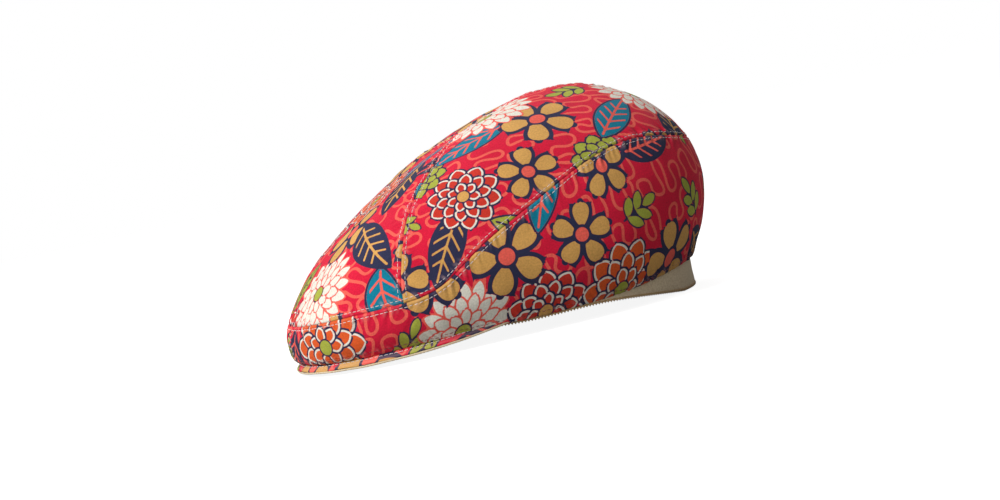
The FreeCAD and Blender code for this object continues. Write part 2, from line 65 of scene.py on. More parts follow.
MM = 0.001
THREAD_PROUD = 0.35
CROWN_HALF = (cad_high.x - cad_low.x) / 2 / MM
CROWN_END = (cad_high.y - cad_low.y) / 2 / MM - THREAD_PROUD
CROWN_TOP = (cad_high.z - cad_low.z) / MM - THREAD_PROUD
WIDEST = 17.0
APEX = 62.0
HEAD_MIDDLE = 15.9
HEAD_HALF = (86.5, 103.8)
HEM_EGG = (88.0, 134.0, 122.5)
HEM_ROW = 3.0
SEAM_ROW = 2.4
STITCH = 2.7
STITCH_PITCH = 3.2
SHELL_CLOTH = 0.8
CORE = np.array([0.0, 10.0, 30.0])
UPWARD = np.array([0.0, 0.0, 1.0])
FORWARD = np.array([0.0, -1.0, 0.0])
MIRROR = (-1, 1, 1)

# How square the plan curves are (2 is an ellipse), and the heights where the domes are fullest
# and draw in. Where there are three values, they are for the front, the side and the back.
HEAD_POWER = 2.1
CROWN_POWERS = (2.25, 2.1)
HEM_POWERS = (2.5, 2.1)
DOME_POWER = (1.5, 1.83, 1.85)
CROWN_BULGE = (21, 45, 74)
CROWN_TUCK = (5, 2.2, 2.2)
LINING_GAP = 2.4
LINING_AHEAD = 121
LINING_OUTSET = 0.5
LINING_BULGE = (38, 45, 74)
LINING_FOOT = (28, 20, 22)
LINING_TUCK = 2.2

# Lines in the side view: (distance behind the origin, height).
HEM = [(-160, 7.6), (-104, 8.4), (-60, 10), (20, 10.2), (62, 12.4), (120, 19.5), (160, 22)]
CROWN_SEAM = [(-160, 29), (-118, 33), (-88, 35), (-60, 40), (-36, 55), (4, 75), (42, 91),
              (82, 99), (118, 94), (160, 84)]
LINING_EDGE = [(-160, 25), (-93, 23), (-50, 19), (-15, 16), (35, 16), (72, 18), (160, 26)]
BAND_EDGE = [(-160, 25), (-88, 17), (-15, 7.8), (35, 7.6), (72, 3.8), (98, 0)]
# The seam over the front of the crown, in plan: (distance from the middle, behind the origin).
FRONT_SEAM = [(0, -9), (12, -13.5), (24, -21.5), (41, -35), (53, -47), (61, -57), (72, -68.5),
              (81, -76.5), (86, -82), (96, -95), (110, -116)]


# ---------------------------------------------------------------- numbers and curves


def smooth_line(points):
    """A natural cubic spline through (x, y) points, as a function of x."""
    knots, values = np.array(points, float).T
    gaps = np.diff(knots)
    slopes = np.diff(values) / gaps
    count = len(knots)
    system = np.eye(count)
    target = np.zeros(count)
    for row in range(1, count - 1):
        system[row, row - 1:row + 2] = gaps[row - 1], 2 * (gaps[row - 1] + gaps[row]), gaps[row]
        target[row] = 6 * (slopes[row] - slopes[row - 1])
    bends = np.linalg.solve(system, target)

    def at(x):
        x = np.clip(x, knots[0], knots[-1])
        cell = np.clip(np.searchsorted(knots, x) - 1, 0, count - 2)
        step = gaps[cell]
        after = (x - knots[cell]) / step
        before = 1 - after
        curl = (before ** 3 - before) * bends[cell] + (after ** 3 - after) * bends[cell + 1]
        return before * values[cell] + after * values[cell + 1] + curl * step ** 2 / 6

    return at


def smoothstep(value, low, high):
    """0 below low and 1 above high, with a smooth rise between them."""
    share = np.clip((value - low) / (high - low), 0, 1)
    return share * share * (3 - 2 * share)


def unit(vectors):
    length = np.linalg.norm(vectors, axis=-1, keepdims=True)
    return vectors / np.maximum(length, 1e-12)


def runs(points):
    """How far along a line of points each point is."""
    return np.concatenate([[0], np.cumsum(np.linalg.norm(np.diff(points, axis=0), axis=1))])


def values_at(wanted, along, points):
    """Points between those of a line, at the wanted distances along it."""
    return np.stack([np.interp(wanted, along, points[:, k]) for k in range(3)], -1)


def spaced(points, count):
    """The same line with evenly spaced points."""
    along = runs(points)
    return values_at(np.linspace(0, along[-1], count), along, points)


def bisect(low, high, too_high):
    """The value at which too_high turns true, for every element at once."""
    for _ in range(36):
        middle = (low + high) / 2
        over = too_high(middle)
        high = np.where(over, middle, high)
        low = np.where(over, low, middle)
    return (low + high) / 2


def waves(points, seed, shortest, longest, count=9):
    """Smooth unevenness in space, about -1 to 1."""
    chance = np.random.default_rng(seed)
    total = np.zeros(points.shape[:-1])
    for _ in range(count):
        heading = unit(chance.normal(size=3))
        length = chance.uniform(shortest, longest)
        total += np.sin(points @ heading * math.tau / length + chance.uniform(0, math.tau))
    return total / math.sqrt(count / 2) / 2


def ripple(run, seed, lengths):
    """Unevenness along a line, about -1 to 1."""
    chance = np.random.default_rng(seed)
    total = sum(np.sin(run * math.tau / length + chance.uniform(0, math.tau)) for length in lengths)
    return total / len(lengths)


# ---------------------------------------------------------------- the crown's surface

hem_line = smooth_line(HEM)
crown_seam_line = smooth_line(CROWN_SEAM)
lining_line = smooth_line(LINING_EDGE)
band_line = smooth_line(BAND_EDGE)
front_seam_line = smooth_line(FRONT_SEAM)


def egg(angle, middle, half, front, back, front_power, back_power):
    """A plan curve. angle is 0 at the front and grows towards the wearer's left."""
    c, s = np.cos(angle), np.sin(angle)
    power = np.where(c > 0, front_power, back_power)
    length = np.where(c > 0, front + middle, back - middle)
    x = half * np.sign(s) * np.abs(s) ** (2 / power)
    y = middle - length * np.sign(c) * np.abs(c) ** (2 / power)
    return x, y


def head_egg(angle, outset):
    """The sweatband's outer face in plan, moved outwards."""
    half = HEAD_HALF[1] + outset
    return egg(angle, HEAD_MIDDLE, HEAD_HALF[0] + outset, half - HEAD_MIDDLE,
               half + HEAD_MIDDLE, HEAD_POWER, HEAD_POWER)


def around(angle, front, side, back):
    """A value that goes smoothly from the front, by the side, to the back."""
    c = np.cos(angle)
    return side + (np.where(c > 0, front, back) - side) * c * c


def dome(angle, height, fullest, edge, top, bulge, edge_height, bend):
    """Points of a dome that is fullest at the height bulge and draws in below it."""
    rise = np.clip((height - bulge) / (top - bulge), 0, 1)
    power = around(angle, *DOME_POWER)
    power = power + (2 - power) * rise ** 40
    share = (1 - rise ** power) ** (1 / power)
    tuck = np.clip((bulge - height) / (bulge - edge_height), 0, 1) ** bend
    above = height >= bulge
    x = np.where(above, fullest[0] * share, fullest[0] + (edge[0] - fullest[0]) * tuck)
    y = np.where(above, APEX + (fullest[1] - APEX) * share,
                 fullest[1] + (edge[1] - fullest[1]) * tuck)
    return np.stack(np.broadcast_arrays(x, y, height), -1)


def crown(angle, height):
    """The shell's outer face."""
    fullest = egg(angle, WIDEST, CROWN_HALF, CROWN_END, CROWN_END, *CROWN_POWERS)
    edge = egg(angle, HEAD_MIDDLE, *HEM_EGG, *HEM_POWERS)
    return dome(angle, height, fullest, edge, CROWN_TOP, around(angle, *CROWN_BULGE),
                hem_line(edge[1]), around(angle, *CROWN_TUCK))


def lining(angle, height):
    """The lining's outer face, which draws in to the sweatband."""
    fullest = egg(angle, WIDEST, CROWN_HALF - LINING_GAP, LINING_AHEAD, CROWN_END - LINING_GAP,
                  *CROWN_POWERS)
    edge = head_egg(angle, LINING_OUTSET)
    return dome(angle, height, fullest, edge, CROWN_TOP - LINING_GAP,
                around(angle, *LINING_BULGE), around(angle, *LINING_FOOT), LINING_TUCK)


class Surface:
    """A dome as a fine mesh that rays and nearest points can be found on, with its seams."""

    def __init__(self, shape, top, floor=-12.0, columns=360, rows=160):
        self.shape, self.top = shape, top
        angles = np.arange(columns) * math.tau / columns
        steps = np.linspace(0, 1, rows + 1)
        heights = floor + (top - floor) * (1 - (1 - steps) ** 2)
        points = shape(angles[:, None], heights[None, :])
        first = np.arange(columns)[:, None] * (rows + 1) + np.arange(rows)
        second = (np.arange(1, columns + 1) % columns)[:, None] * (rows + 1) + np.arange(rows)
        faces = np.stack([first, second, second + 1, first + 1], -1).reshape(-1, 4)
        self.tree = BVHTree.FromPolygons(points.reshape(-1, 3).tolist(), faces.tolist())
        self.cut_lines()

    def seam_height(self, angle, line):
        """The height at which the surface meets a line that is drawn in the side view."""
        angle = np.asarray(angle, float)
        low, high = np.full(angle.shape, -11.0), np.full(angle.shape, self.top - 0.5)
        return bisect(low, high, lambda height: height > line(self.shape(angle, height)[..., 1]))

    def front_seam_angle(self, height):
        """The angle at which the surface at a height meets the seam over the front."""
        height = np.asarray(height, float)

        def behind(angle):
            point = self.shape(angle, height)
            return point[..., 1] > front_seam_line(np.abs(point[..., 0]))

        return bisect(np.zeros(height.shape), np.full(height.shape, math.pi), behind)

    def cut_lines(self):
        """The seams as lines of points on the wearer's left, each from front to back or up."""
        at_front = np.array(0.0)
        apex_side = bisect(np.array(self.top * 0.6), np.array(self.top - 0.01),
                           lambda height: self.shape(at_front, height)[..., 1] > FRONT_SEAM[0][1])

        def past_corner(height):
            point = self.shape(self.front_seam_angle(height), height)
            return height > crown_seam_line(point[..., 1])

        corner = bisect(np.array(20.0), np.array(90.0), past_corner)
        heights = apex_side - (apex_side - corner) * np.linspace(1, 0, 400) ** 2
        self.front_seam = self.shape(self.front_seam_angle(heights), heights)
        self.front_seam[-1, 0] = 0.0
        self.corner_angle = float(self.front_seam_angle(corner))
        self.ahead_angles = np.linspace(0, self.corner_angle, 300)
        self.behind_angles = np.linspace(self.corner_angle, math.pi, 500)
        self.seam_ahead = self.shape(self.ahead_angles,
                                     self.seam_height(self.ahead_angles, crown_seam_line))
        self.seam_behind = self.shape(self.behind_angles,
                                      self.seam_height(self.behind_angles, crown_seam_line))
        spread = np.linspace(0, 1, 200)
        back_foot = float(self.seam_behind[-1, 2])
        climb = apex_side + (self.top - apex_side) * (1 - (1 - spread) ** 2)
        fall = self.top - (self.top - back_foot) * spread ** 2
        self.centre = np.concatenate([self.shape(0.0, climb), self.shape(math.pi, fall)[1:]])
        self.centre[:, 0] = 0.0
        self.seam_behind[-1] = self.centre[-1]

    def projected(self, points):
        """The places where rays from the cap's middle through the points meet the surface."""
        flat = points.reshape(-1, 3)
        core = Vector(CORE)
        found = [self.tree.ray_cast(core, Vector(point) - core)[0] for point in flat]
        return np.array([tuple(hit) for hit in found]).reshape(points.shape)

    def settled(self, points):
        """The nearest points on the surface, and its outward directions there."""
        found = [self.tree.find_nearest(Vector(point)) for point in points.reshape(-1, 3)]
        places = np.array([tuple(hit[0]) for hit in found]).reshape(points.shape)
        normals = np.array([tuple(hit[1]) for hit in found]).reshape(points.shape)
        outward = np.sign(np.sum(normals * (places - CORE), axis=-1, keepdims=True))
        return places, normals * outward


# ---------------------------------------------------------------- relief of the sewn cloth

# Soft folds and dents of the shell: (middle, direction, half length, half width, depth).
FOLDS = [
    ((68, 88, 92), (0.25, 0.1, -1), 20, 2.6, 1.5),
    ((76, 96, 84), (0.3, 0.1, -1), 22, 5.0, -0.7),
    ((89, 62, 50), (0.1, 0.35, -1), 20, 2.2, 0.8),
    ((91, 68, 34), (0.05, 0.2, -1), 14, 2.4, 0.9),
    ((88, -62, 48), (0.1, 0.8, -0.6), 10, 5.5, 1.5),
    ((90, -52, 40), (0.1, 0.7, -0.7), 12, 4.0, 1.3),
    ((84, -76, 27), (0.2, 0.6, 0.8), 9, 2.0, 1.0),
    ((88, -66, 30), (0.1, 0.3, 0.9), 8, 2.2, 0.9),
    ((93, -10, 24), (0.05, 0.9, 0.4), 13, 3.0, 0.9),
    ((93, 18, 22), (0.05, 0.9, -0.3), 12, 2.6, 0.7),
    ((60, -118, 22), (-0.6, -0.4, 0.5), 8, 2.0, 0.8),
    ((40, -127, 20), (-0.4, -0.2, 0.9), 6, 1.8, 0.8),
    ((30, -100, 92), (0.9, 0.3, -0.3), 26, 7.0, 0.8),
    ((52, -30, 112), (0.7, -0.5, -0.4), 22, 8.0, 0.8),
    ((40, 60, 133), (0.8, 0.5, -0.1), 30, 10.0, 0.9),
    ((-70, 92, 90), (-0.3, 0.1, -1), 20, 2.6, 1.3),
    ((-88, -58, 46), (-0.1, 0.8, -0.6), 12, 4.5, 1.4),
    ((-92, 10, 26), (0.0, 0.9, 0.3), 16, 3.0, 0.9),
    ((-50, -120, 20), (0.5, -0.4, 0.6), 8, 2.0, 0.8),
    ((-60, -20, 108), (-0.7, -0.5, -0.3), 26, 8.0, 0.9),
    ((10, 130, 70), (0.2, 0.1, -1), 24, 4.0, 0.9),
]

GROOVE_DEPTH, GROOVE_HALF = 0.6, 0.7
ALLOWANCE_RISE = 0.34
DENT_DEPTH, DENT_HALF = 0.36, 0.5
PUCKER_HEIGHT = 0.8
PUCKER_REACH = 6.0
PUCKER_SLANT = 0.45
PUCKER_LENGTHS = (3.7, 5.3, 7.1, 10.9, 16.3)
PATCH_LENGTHS = (61, 37, 23)
BETWEEN_ROWS = 0.7
SEAM_POINT_STEP = 0.25
SEAM_NUMBER_STEP = 500


class Sewing:
    """The seams of the shell, and how they push the cloth in and out beside them."""

    def __init__(self, surface):
        left = np.concatenate([surface.seam_ahead, surface.seam_behind[1:]])
        turn = np.linspace(0, math.pi, 500)
        hem = surface.shape(turn, surface.seam_height(turn, hem_line))
        back_heights = np.linspace(hem[-1, 2], left[-1, 2], 60)
        front_heights = np.linspace(hem[0, 2], left[0, 2], 30)
        self.lines = {
            "crown_seam_left": left,
            "crown_seam_right": left * MIRROR,
            "front_seam_left": surface.front_seam,
            "front_seam_right": surface.front_seam * MIRROR,
            "top_centre": surface.centre,
            "back_centre": surface.shape(math.pi, back_heights),
            "front_centre": surface.shape(0.0, front_heights),
            "hem_left": hem,
            "hem_right": hem * MIRROR,
        }
        places, along, kind = [], [], []
        for number, (name, line) in enumerate(self.lines.items()):
            fine = spaced(line, int(runs(line)[-1] / SEAM_POINT_STEP))
            places.append(fine)
            along.append(runs(fine) + SEAM_NUMBER_STEP * number)
            kind.append(np.full(len(fine), name.startswith("hem")))
        places = np.concatenate(places)
        self.along, self.is_hem = np.concatenate(along), np.concatenate(kind)
        self.tree = KDTree(len(places))
        for number, place in enumerate(places):
            self.tree.insert(place, number)
        self.tree.balance()

    def beside(self, points):
        """Distance to the nearest seam, the distance along that seam, and whether it's the hem."""
        found = [self.tree.find(point)[1:] for point in points.reshape(-1, 3)]
        number = np.array([hit[0] for hit in found]).reshape(points.shape[:-1])
        distance = np.array([hit[1] for hit in found]).reshape(points.shape[:-1])
        return distance, self.along[number], self.is_hem[number]

    def relief(self, points):
        """How far the cloth stands out of the plain dome, and how much its high places are lightened:
        partly wear, partly a painted highlight.
        """
        distance, run, hem = self.beside(points)
        row = np.where(hem, HEM_ROW, SEAM_ROW)
        groove = np.where(hem, 0.0, -GROOVE_DEPTH * np.exp(-(distance / GROOVE_HALF) ** 2))
        ridge = ALLOWANCE_RISE * (1 - smoothstep(distance, row + 0.3, row + 1.6))
        sunk = -DENT_DEPTH * np.exp(-((distance - row) / DENT_HALF) ** 2)
        reach = np.exp(-(np.maximum(distance - row, 0) / PUCKER_REACH) ** 2)
        slant = run + PUCKER_SLANT * distance
        patches = 0.5 + 0.5 * ripple(run, 4, PATCH_LENGTHS)
        pucker = ripple(slant, 3, PUCKER_LENGTHS) * (0.35 + 1.3 * patches)
        pulled = PUCKER_HEIGHT * reach * pucker * np.where(distance < row, BETWEEN_ROWS, 1.0)
        uneven = 0.75 * waves(points, 11, 42, 120) + 0.20 * waves(points, 12, 12, 26)
        height = groove + ridge + sunk + pulled + uneven * smoothstep(distance, -2, 12)
        for middle, direction, half_length, half_width, depth in FOLDS:
            offset = points - np.array(middle)
            lengthways = offset @ unit(np.array(direction, float))
            crossways = np.sum(offset ** 2, axis=-1) - lengthways ** 2
            height -= depth * np.exp(-(lengthways / half_length) ** 2 - crossways / half_width ** 2)
        # Lightening on pucker crests and beside the seams: partly wear, partly a painted highlight on
        # raised cloth.
        wear_and_highlight = np.clip(2.2 * pulled, 0, 1) * np.exp(-((distance - row - 0.7) / 1.6) ** 2)
        wear_and_highlight += 0.7 * np.exp(-((distance - 1.1) / 0.5) ** 2) * np.clip(0.3 + 2 * pulled, 0, 1)
        return height, wear_and_highlight


# ---------------------------------------------------------------- meshes


def grid_quads(ids):
    """The faces between neighbouring points of a grid."""
    return np.stack([ids[:-1, :-1], ids[1:, :-1], ids[1:, 1:], ids[:-1, 1:]], -1).reshape(-1, 4)


def make_mesh(name, points, faces, fields=None):
    """A smooth mesh object from points in millimetres, with named values at its points."""
    mesh = bpy.data.meshes.new(name)
    used, numbers = np.unique(np.concatenate([np.ravel(part) for part in faces]), return_inverse=True)
    lists = []
    start = 0
    for part in faces:
        shaped = numbers[start:start + part.size].reshape(part.shape)
        start += part.size
        for face in shaped.tolist():
            corners = list(dict.fromkeys(face))
            if len(corners) > 2:
                lists.append(corners)
    mesh.from_pydata((points[used] * MM).tolist(), [], lists)
    for field, values in (fields or {}).items():
        kind = "FLOAT_VECTOR" if values.ndim == 2 else "FLOAT"
        attribute = mesh.attributes.new(field, kind, "POINT")
        attribute.data.foreach_set("vector" if values.ndim == 2 else "value",
                                   values[used].astype(np.float32).ravel())
    mesh.polygons.foreach_set("use_smooth", np.ones(len(mesh.polygons), bool))
    mesh.update()
    piece = bpy.data.objects.new(name, mesh)
    bpy.context.scene.collection.objects.link(piece)
    return piece


def grid_normals(points, outward):
    """Directions square to a grid of points, on the side that outward is on."""
    across = np.cross(np.gradient(points, axis=0), np.gradient(points, axis=1))
    size = np.linalg.norm(across, axis=-1, keepdims=True)
    normals = np.where(size > 1e-6, across / np.maximum(size, 1e-12), 0)
    side = np.sign(np.sum(normals * outward))
    normals = np.where(size > 1e-6, normals * side, outward)
    return unit(normals), side > 0


def sheet_mesh(name, points, outward, thickness, fields=None, tips=(False, False)):
    """A closed thin sheet whose outer face is a grid. tips says which end columns are points."""
    normals, straight = grid_normals(points, outward)
    rows, columns = points.shape[:2]
    ids = np.arange(rows * columns).reshape(rows, columns)
    for column, is_tip in zip((0, -1), tips):
        if is_tip:
            ids[:, column] = ids[0, column]
    inner = points - normals * thickness
    under = ids + rows * columns
    loop = np.concatenate([ids[0, :-1], ids[:-1, -1], ids[-1, :0:-1], ids[::-1, 0]])
    under_loop = loop + rows * columns
    wall = np.stack([loop[:-1], loop[1:], under_loop[1:], under_loop[:-1]], -1)
    outer_quads, inner_quads = grid_quads(ids), grid_quads(under)[:, ::-1]
    faces = [outer_quads, inner_quads, wall]
    if not straight:
        faces = [part[:, ::-1] for part in faces]
    every = np.concatenate([points.reshape(-1, 3), inner.reshape(-1, 3)])
    doubled = {field: np.concatenate([values, values]) for field, values in (fields or {}).items()}
    return make_mesh(name, every, faces, doubled)


def tube_mesh(name, points, outward):
    """A closed ring: a grid that closes on itself both ways."""
    rows, columns = points.shape[:2]
    ids = np.arange(rows * columns).reshape(rows, columns)
    ids = np.pad(ids, ((0, 1), (0, 1)), mode="wrap")
    quads = grid_quads(ids)
    first = np.cross(points[1, 0] - points[0, 0], points[0, 1] - points[0, 0])
    if first @ outward < 0:
        quads = quads[:, ::-1]
    return make_mesh(name, points.reshape(-1, 3), [quads])


# ---------------------------------------------------------------- the camera

PICTURE_WIDTH = 1000
FOCAL_PIXELS = 2238.6
SENSOR = 36.0
CAMERA_DISTANCE = 1400.0
CAMERA_TARGET = np.array([0.0, 0.0, 65.0])
CAMERA_FORWARD = math.radians(14)
CAMERA_RAISED = math.radians(3.5)
CAMERA_ROLL = math.radians(-12.52)
FRAMING = (7.2, -16.3)


def make_camera():
    """A camera on the wearer's left, a little ahead and above, rolled so that the peak dips."""
    cos, sin = math.cos, math.sin
    back = np.array([cos(CAMERA_RAISED) * cos(CAMERA_FORWARD),
                     -cos(CAMERA_RAISED) * sin(CAMERA_FORWARD), sin(CAMERA_RAISED)])
    level = np.array([sin(CAMERA_FORWARD), cos(CAMERA_FORWARD), 0.0])
    upright = np.cross(back, level)
    right = cos(CAMERA_ROLL) * level + sin(CAMERA_ROLL) * upright
    up = cos(CAMERA_ROLL) * upright - sin(CAMERA_ROLL) * level
    target = CAMERA_TARGET + FRAMING[0] * right + FRAMING[1] * up
    data = bpy.data.cameras.new("camera")
    data.sensor_width = SENSOR
    data.lens = FOCAL_PIXELS / PICTURE_WIDTH * SENSOR
    data.clip_start = 0.05
    camera = bpy.data.objects.new("camera", data)
    turn = Matrix([right, up, back]).transposed().to_4x4()
    place = Vector((target + CAMERA_DISTANCE * back) * MM)
    camera.matrix_world = Matrix.Translation(place) @ turn
    bpy.context.scene.collection.objects.link(camera)
    bpy.context.scene.camera = camera


# ---------------------------------------------------------------- the print

INKS = ("coral", "navy", "teal", "olive", "cream", "orange", "scarlet", "gold")
FAR = 9.0


class Print:
    """The inks on one panel. Each ink has its distance in mm to its nearest edge, below 0 inside."""

    def __init__(self, across, up):
        self.across, self.up = across.ravel(), up.ravel()
        self.inks = {ink: np.full(self.across.size, FAR) for ink in INKS}

    def lay(self, ink, distance, near=slice(None)):
        """Prints one ink over what is there."""
        for name, field in self.inks.items():
            if name == ink:
                field[near] = np.minimum(field[near], distance)
            else:
                field[near] = np.maximum(field[near], -distance)


class Stamp:
    """A place on a print, with coordinates of its own along and across its heading."""

    def __init__(self, cloth, place, heading, reach):
        self.cloth = cloth
        x, y = cloth.across - place[0], cloth.up - place[1]
        self.near = np.flatnonzero(np.hypot(x, y) < reach)
        self.x, self.y = self.turn(x[self.near], y[self.near], math.radians(heading))

    @staticmethod
    def turn(x, y, angle):
        """Coordinates along and across a heading."""
        c, s = math.cos(angle), math.sin(angle)
        return c * x + s * y, c * y - s * x

    def lay(self, ink, distance):
        self.cloth.lay(ink, distance, self.near)

    def layers(self, distance, layers):
        """One outline in several inks, each moved in from it by so much."""
        for ink, inset in layers:
            self.lay(ink, distance + inset)

    def seen(self, angle, x=0.0, y=0.0):
        """Coordinates from another place of the stamp and along another heading."""
        return self.turn(self.x - x, self.y - y, angle)


def petal(x, y, length, width, base=0.9, tip=0.75):
    """Distance to a petal from the origin along +x. base and tip say how pointed its ends are."""
    share = np.clip(x / length, 0.002, 0.998)
    widest = base / (base + tip)
    half = width / 2 * (share / widest) ** base * ((1 - share) / (1 - widest)) ** tip
    slope = half * (base / share - tip / (1 - share)) / length
    side = (np.abs(y) - half) / np.sqrt(1 + np.minimum(slope ** 2, 6))
    beyond = np.maximum(x - length, -x)
    return np.where(beyond > 0, np.hypot(np.maximum(beyond, 0), y), side)


def disc(x, y, radius):
    """Distance to a disc round the origin."""
    return np.hypot(x, y) - radius


MEANDER_PITCH = 7.4
MEANDER_SWING = 9.5
MEANDER_WIDTH = 2.0


def meander(cloth, seed, heading):
    """Winding lines over the whole ground, like quilting: each swings to and fro as it goes."""
    c, s = math.cos(math.radians(heading)), math.sin(math.radians(heading))
    along, aside = c * cloth.across + s * cloth.up, c * cloth.up - s * cloth.across
    chance = np.random.default_rng(seed)
    lane = 2.3 * MEANDER_SWING
    traced = []
    for number in range(int(np.ptp(aside) / lane) + 3):
        base = aside.min() - lane / 2 + number * lane
        turns = np.arange(along.min() - 20, along.max() + 20, 0.12) * math.pi / MEANDER_PITCH
        turns = turns + chance.uniform(0, math.tau)
        far = turns * MEANDER_PITCH / math.pi
        reach = MEANDER_SWING * (0.9 + 0.5 * ripple(far, seed + number, (19, 31, 47)))
        swaying = 4.4 * ripple(far, seed + 50 + number, (43, 71))
        traced.append(np.stack([
            far - 2.1 * np.sin(2 * turns) + 2.2 * ripple(far, seed + 90 + number, (23, 37)),
            base + reach * np.sin(turns) + swaying, 0 * far], -1))
    points = np.concatenate(traced)
    tree = KDTree(len(points))
    for number, point in enumerate(points):
        tree.insert(point, number)
    tree.balance()
    distance = [tree.find((a, b, 0.0))[2] for a, b in zip(along, aside)]
    cloth.lay("coral", np.array(distance) - MEANDER_WIDTH / 2)


# Colourways: each ink with the distance in mm that it is moved in from a petal's outline.
ORANGE_PETALS = (("navy", -1.2), ("cream", 0.0), ("orange", 1.3))
SCARLET_PETALS = (("navy", -1.2), ("cream", 0.0), ("scarlet", 1.3))
OLIVE_PETALS = (("navy", -1.2), ("olive", 0.0))
WHITE_PETALS = (("coral", -1.1), ("cream", 0.0))

# A flower's rings, the outermost first: (petals, inner end, outer end, width), as shares of its size.
BROAD_RINGS = ((10, 0.34, 1.00, 0.46), (10, 0.20, 0.74, 0.34), (7, 0.06, 0.46, 0.28))
SLIM_RINGS = ((18, 0.38, 1.00, 0.24), (14, 0.22, 0.74, 0.22), (9, 0.08, 0.46, 0.20))


def rosette(cloth, place, heading, size, rings, layers, under, middle):
    """A round flower of even rings of petals, with a plain round middle."""
    stamp = Stamp(cloth, place, heading, size * 1.15)
    stamp.lay(under, disc(stamp.x, stamp.y, size * 0.60))
    for ring, (count, inner, outer, width) in enumerate(rings):
        for number in range(count):
            x, y = stamp.seen(math.tau * (number + ring / 2) / count)
            blade = petal(x - inner * size, y, (outer - inner) * size, width * size, 1.1, 0.8)
            stamp.layers(blade, layers)
    stamp.layers(disc(stamp.x, stamp.y, size * 0.16), (("navy", -1.0), (middle, 0.0)))


FLOWER_PETALS = 5


def plain_flower(cloth, place, heading, size):
    """Rounded gold petals on a navy edge, round a coral middle."""
    stamp = Stamp(cloth, place, heading, size * 1.25)
    for ink, inset in (("navy", -0.12 * size), ("gold", 0.0)):
        for number in range(FLOWER_PETALS):
            x, y = stamp.seen(math.tau * number / FLOWER_PETALS)
            stamp.lay(ink, petal(x - size * 0.20, y, size * 0.78, size * 0.56, 0.9, 0.45) + inset)
    stamp.layers(disc(stamp.x, stamp.y, size * 0.27), (("navy", -0.8), ("coral", size * 0.05)))


def leaf(cloth, place, heading, length, ink, vein):
    """A plain pointed leaf with a middle vein and slanting side veins."""
    stamp = Stamp(cloth, place, heading, length * 0.65)
    x, y = stamp.seen(0.0, -length / 2)
    blade = petal(x, y, length, length * 0.40, 0.8, 0.9)
    stamp.layers(blade, (("navy", -1.3), (ink, 0.0)))
    lines = np.abs(y) - 0.75
    for share in (0.15, 0.32, 0.49, 0.66):
        slanting = np.abs(x - share * length - np.abs(y)) * math.sqrt(0.5)
        lines = np.minimum(lines, slanting - 0.70)
    stamp.lay(vein, np.maximum(lines, blade + 1.5))


def sprig(cloth, place, heading, size):
    """A stem with two pairs of small leaves and one leaf at its end."""
    stamp = Stamp(cloth, place, heading, size * 1.1)
    x, y = stamp.seen(0.0, -size / 2)
    stamp.lay("navy", np.maximum(np.abs(y) - 0.7, np.abs(x - size * 0.4) - size * 0.4))
    for start, turn in ((0.15, 0.9), (0.15, -0.9), (0.45, 0.8), (0.45, -0.8), (0.70, 0.0)):
        along, aside = stamp.seen(turn, start * size - size / 2)
        blade = petal(along, aside, size * 0.5, size * 0.24)
        stamp.layers(blade, (("navy", -1.0), ("olive", 0.0)))


MOTIFS = (
    (rosette, 29, BROAD_RINGS, ORANGE_PETALS, "navy", "olive"),
    (plain_flower, 23),
    (leaf, 50, "teal", "coral"),
    (rosette, 30, SLIM_RINGS, WHITE_PETALS, "coral", "olive"),
    (sprig, 24),
    (leaf, 46, "navy", "coral"),
    (plain_flower, 19),
    (rosette, 24, BROAD_RINGS, SCARLET_PETALS, "navy", "gold"),
    (leaf, 54, "navy", "gold"),
    (rosette, 21, BROAD_RINGS, OLIVE_PETALS, "navy", "cream"),
    (sprig, 20),
    (leaf, 38, "olive", "navy"),
)
MOTIF_REPEATS = 8
MOTIF_SHIFT = 6.0


def scattered(seed, across, up, step=46.0):
    """Flowers and leaves spread evenly over a stretch of flat cloth, in a random order."""
    chance = np.random.default_rng(seed)
    order = chance.permutation(len(MOTIFS) * MOTIF_REPEATS) % len(MOTIFS)
    found = []
    for row, height in enumerate(np.arange(up[0], up[1], step * 0.8)):
        for place in np.arange(across[0] + (row % 2) * step / 2, across[1], step):
            kind, *details = MOTIFS[order[len(found)]]
            shift = chance.uniform(-MOTIF_SHIFT, MOTIF_SHIFT, 2)
            heading = chance.uniform(0, 360)
            found.append((kind, (place + shift[0], height + shift[1]), heading, *details))
    return found


SIDE_LEFT = scattered(71, (8, 415), (4, 92))
SIDE_RIGHT = scattered(72, (8, 415), (4, 92))
TOP_LEFT = scattered(73, (-125, 130), (-72, 72))
TOP_RIGHT = scattered(74, (-125, 130), (-72, 72))
FRONT = scattered(75, (-125, 130), (-80, 84))
PEAK = scattered(76, (0, 340), (2, 30), 40.0)


def printed(across, up, motifs, seed, heading):
    """The fields of a panel's print, with its flat coordinates."""
    cloth = Print(across, up)
    meander(cloth, seed, heading)
    for motif, *details in motifs:
        motif(cloth, *details)
    fields = dict(cloth.inks)
    fields["flat"] = np.stack([cloth.across, cloth.up, 0 * cloth.up], -1)
    return fields


# ---------------------------------------------------------------- materials


def tone(red, green, blue):
    """A colour given in 0 to 255, as the linear values that the nodes take."""
    values = [value / 255 for value in (red, green, blue)]
    return (*[v / 12.92 if v <= 0.04045 else ((v + 0.055) / 1.055) ** 2.4 for v in values], 1.0)


INK_TONES = {
    "coral": tone(240, 98, 84),
    "navy": tone(44, 46, 76),
    "teal": tone(0, 122, 148),
    "olive": tone(168, 174, 66),
    "cream": tone(232, 228, 214),
    "orange": tone(226, 92, 38),
    "scarlet": tone(208, 54, 40),
    "gold": tone(214, 162, 88),
}
GROUND_TONE = tone(218, 22, 58)
# A pale tone laid on raised cloth: partly wear, partly a painted highlight.
WEAR_AND_HIGHLIGHT_TONE = tone(255, 206, 200)
WEAR_AND_HIGHLIGHT_STRENGTH = 0.14
INK_SOFTNESS = 0.13


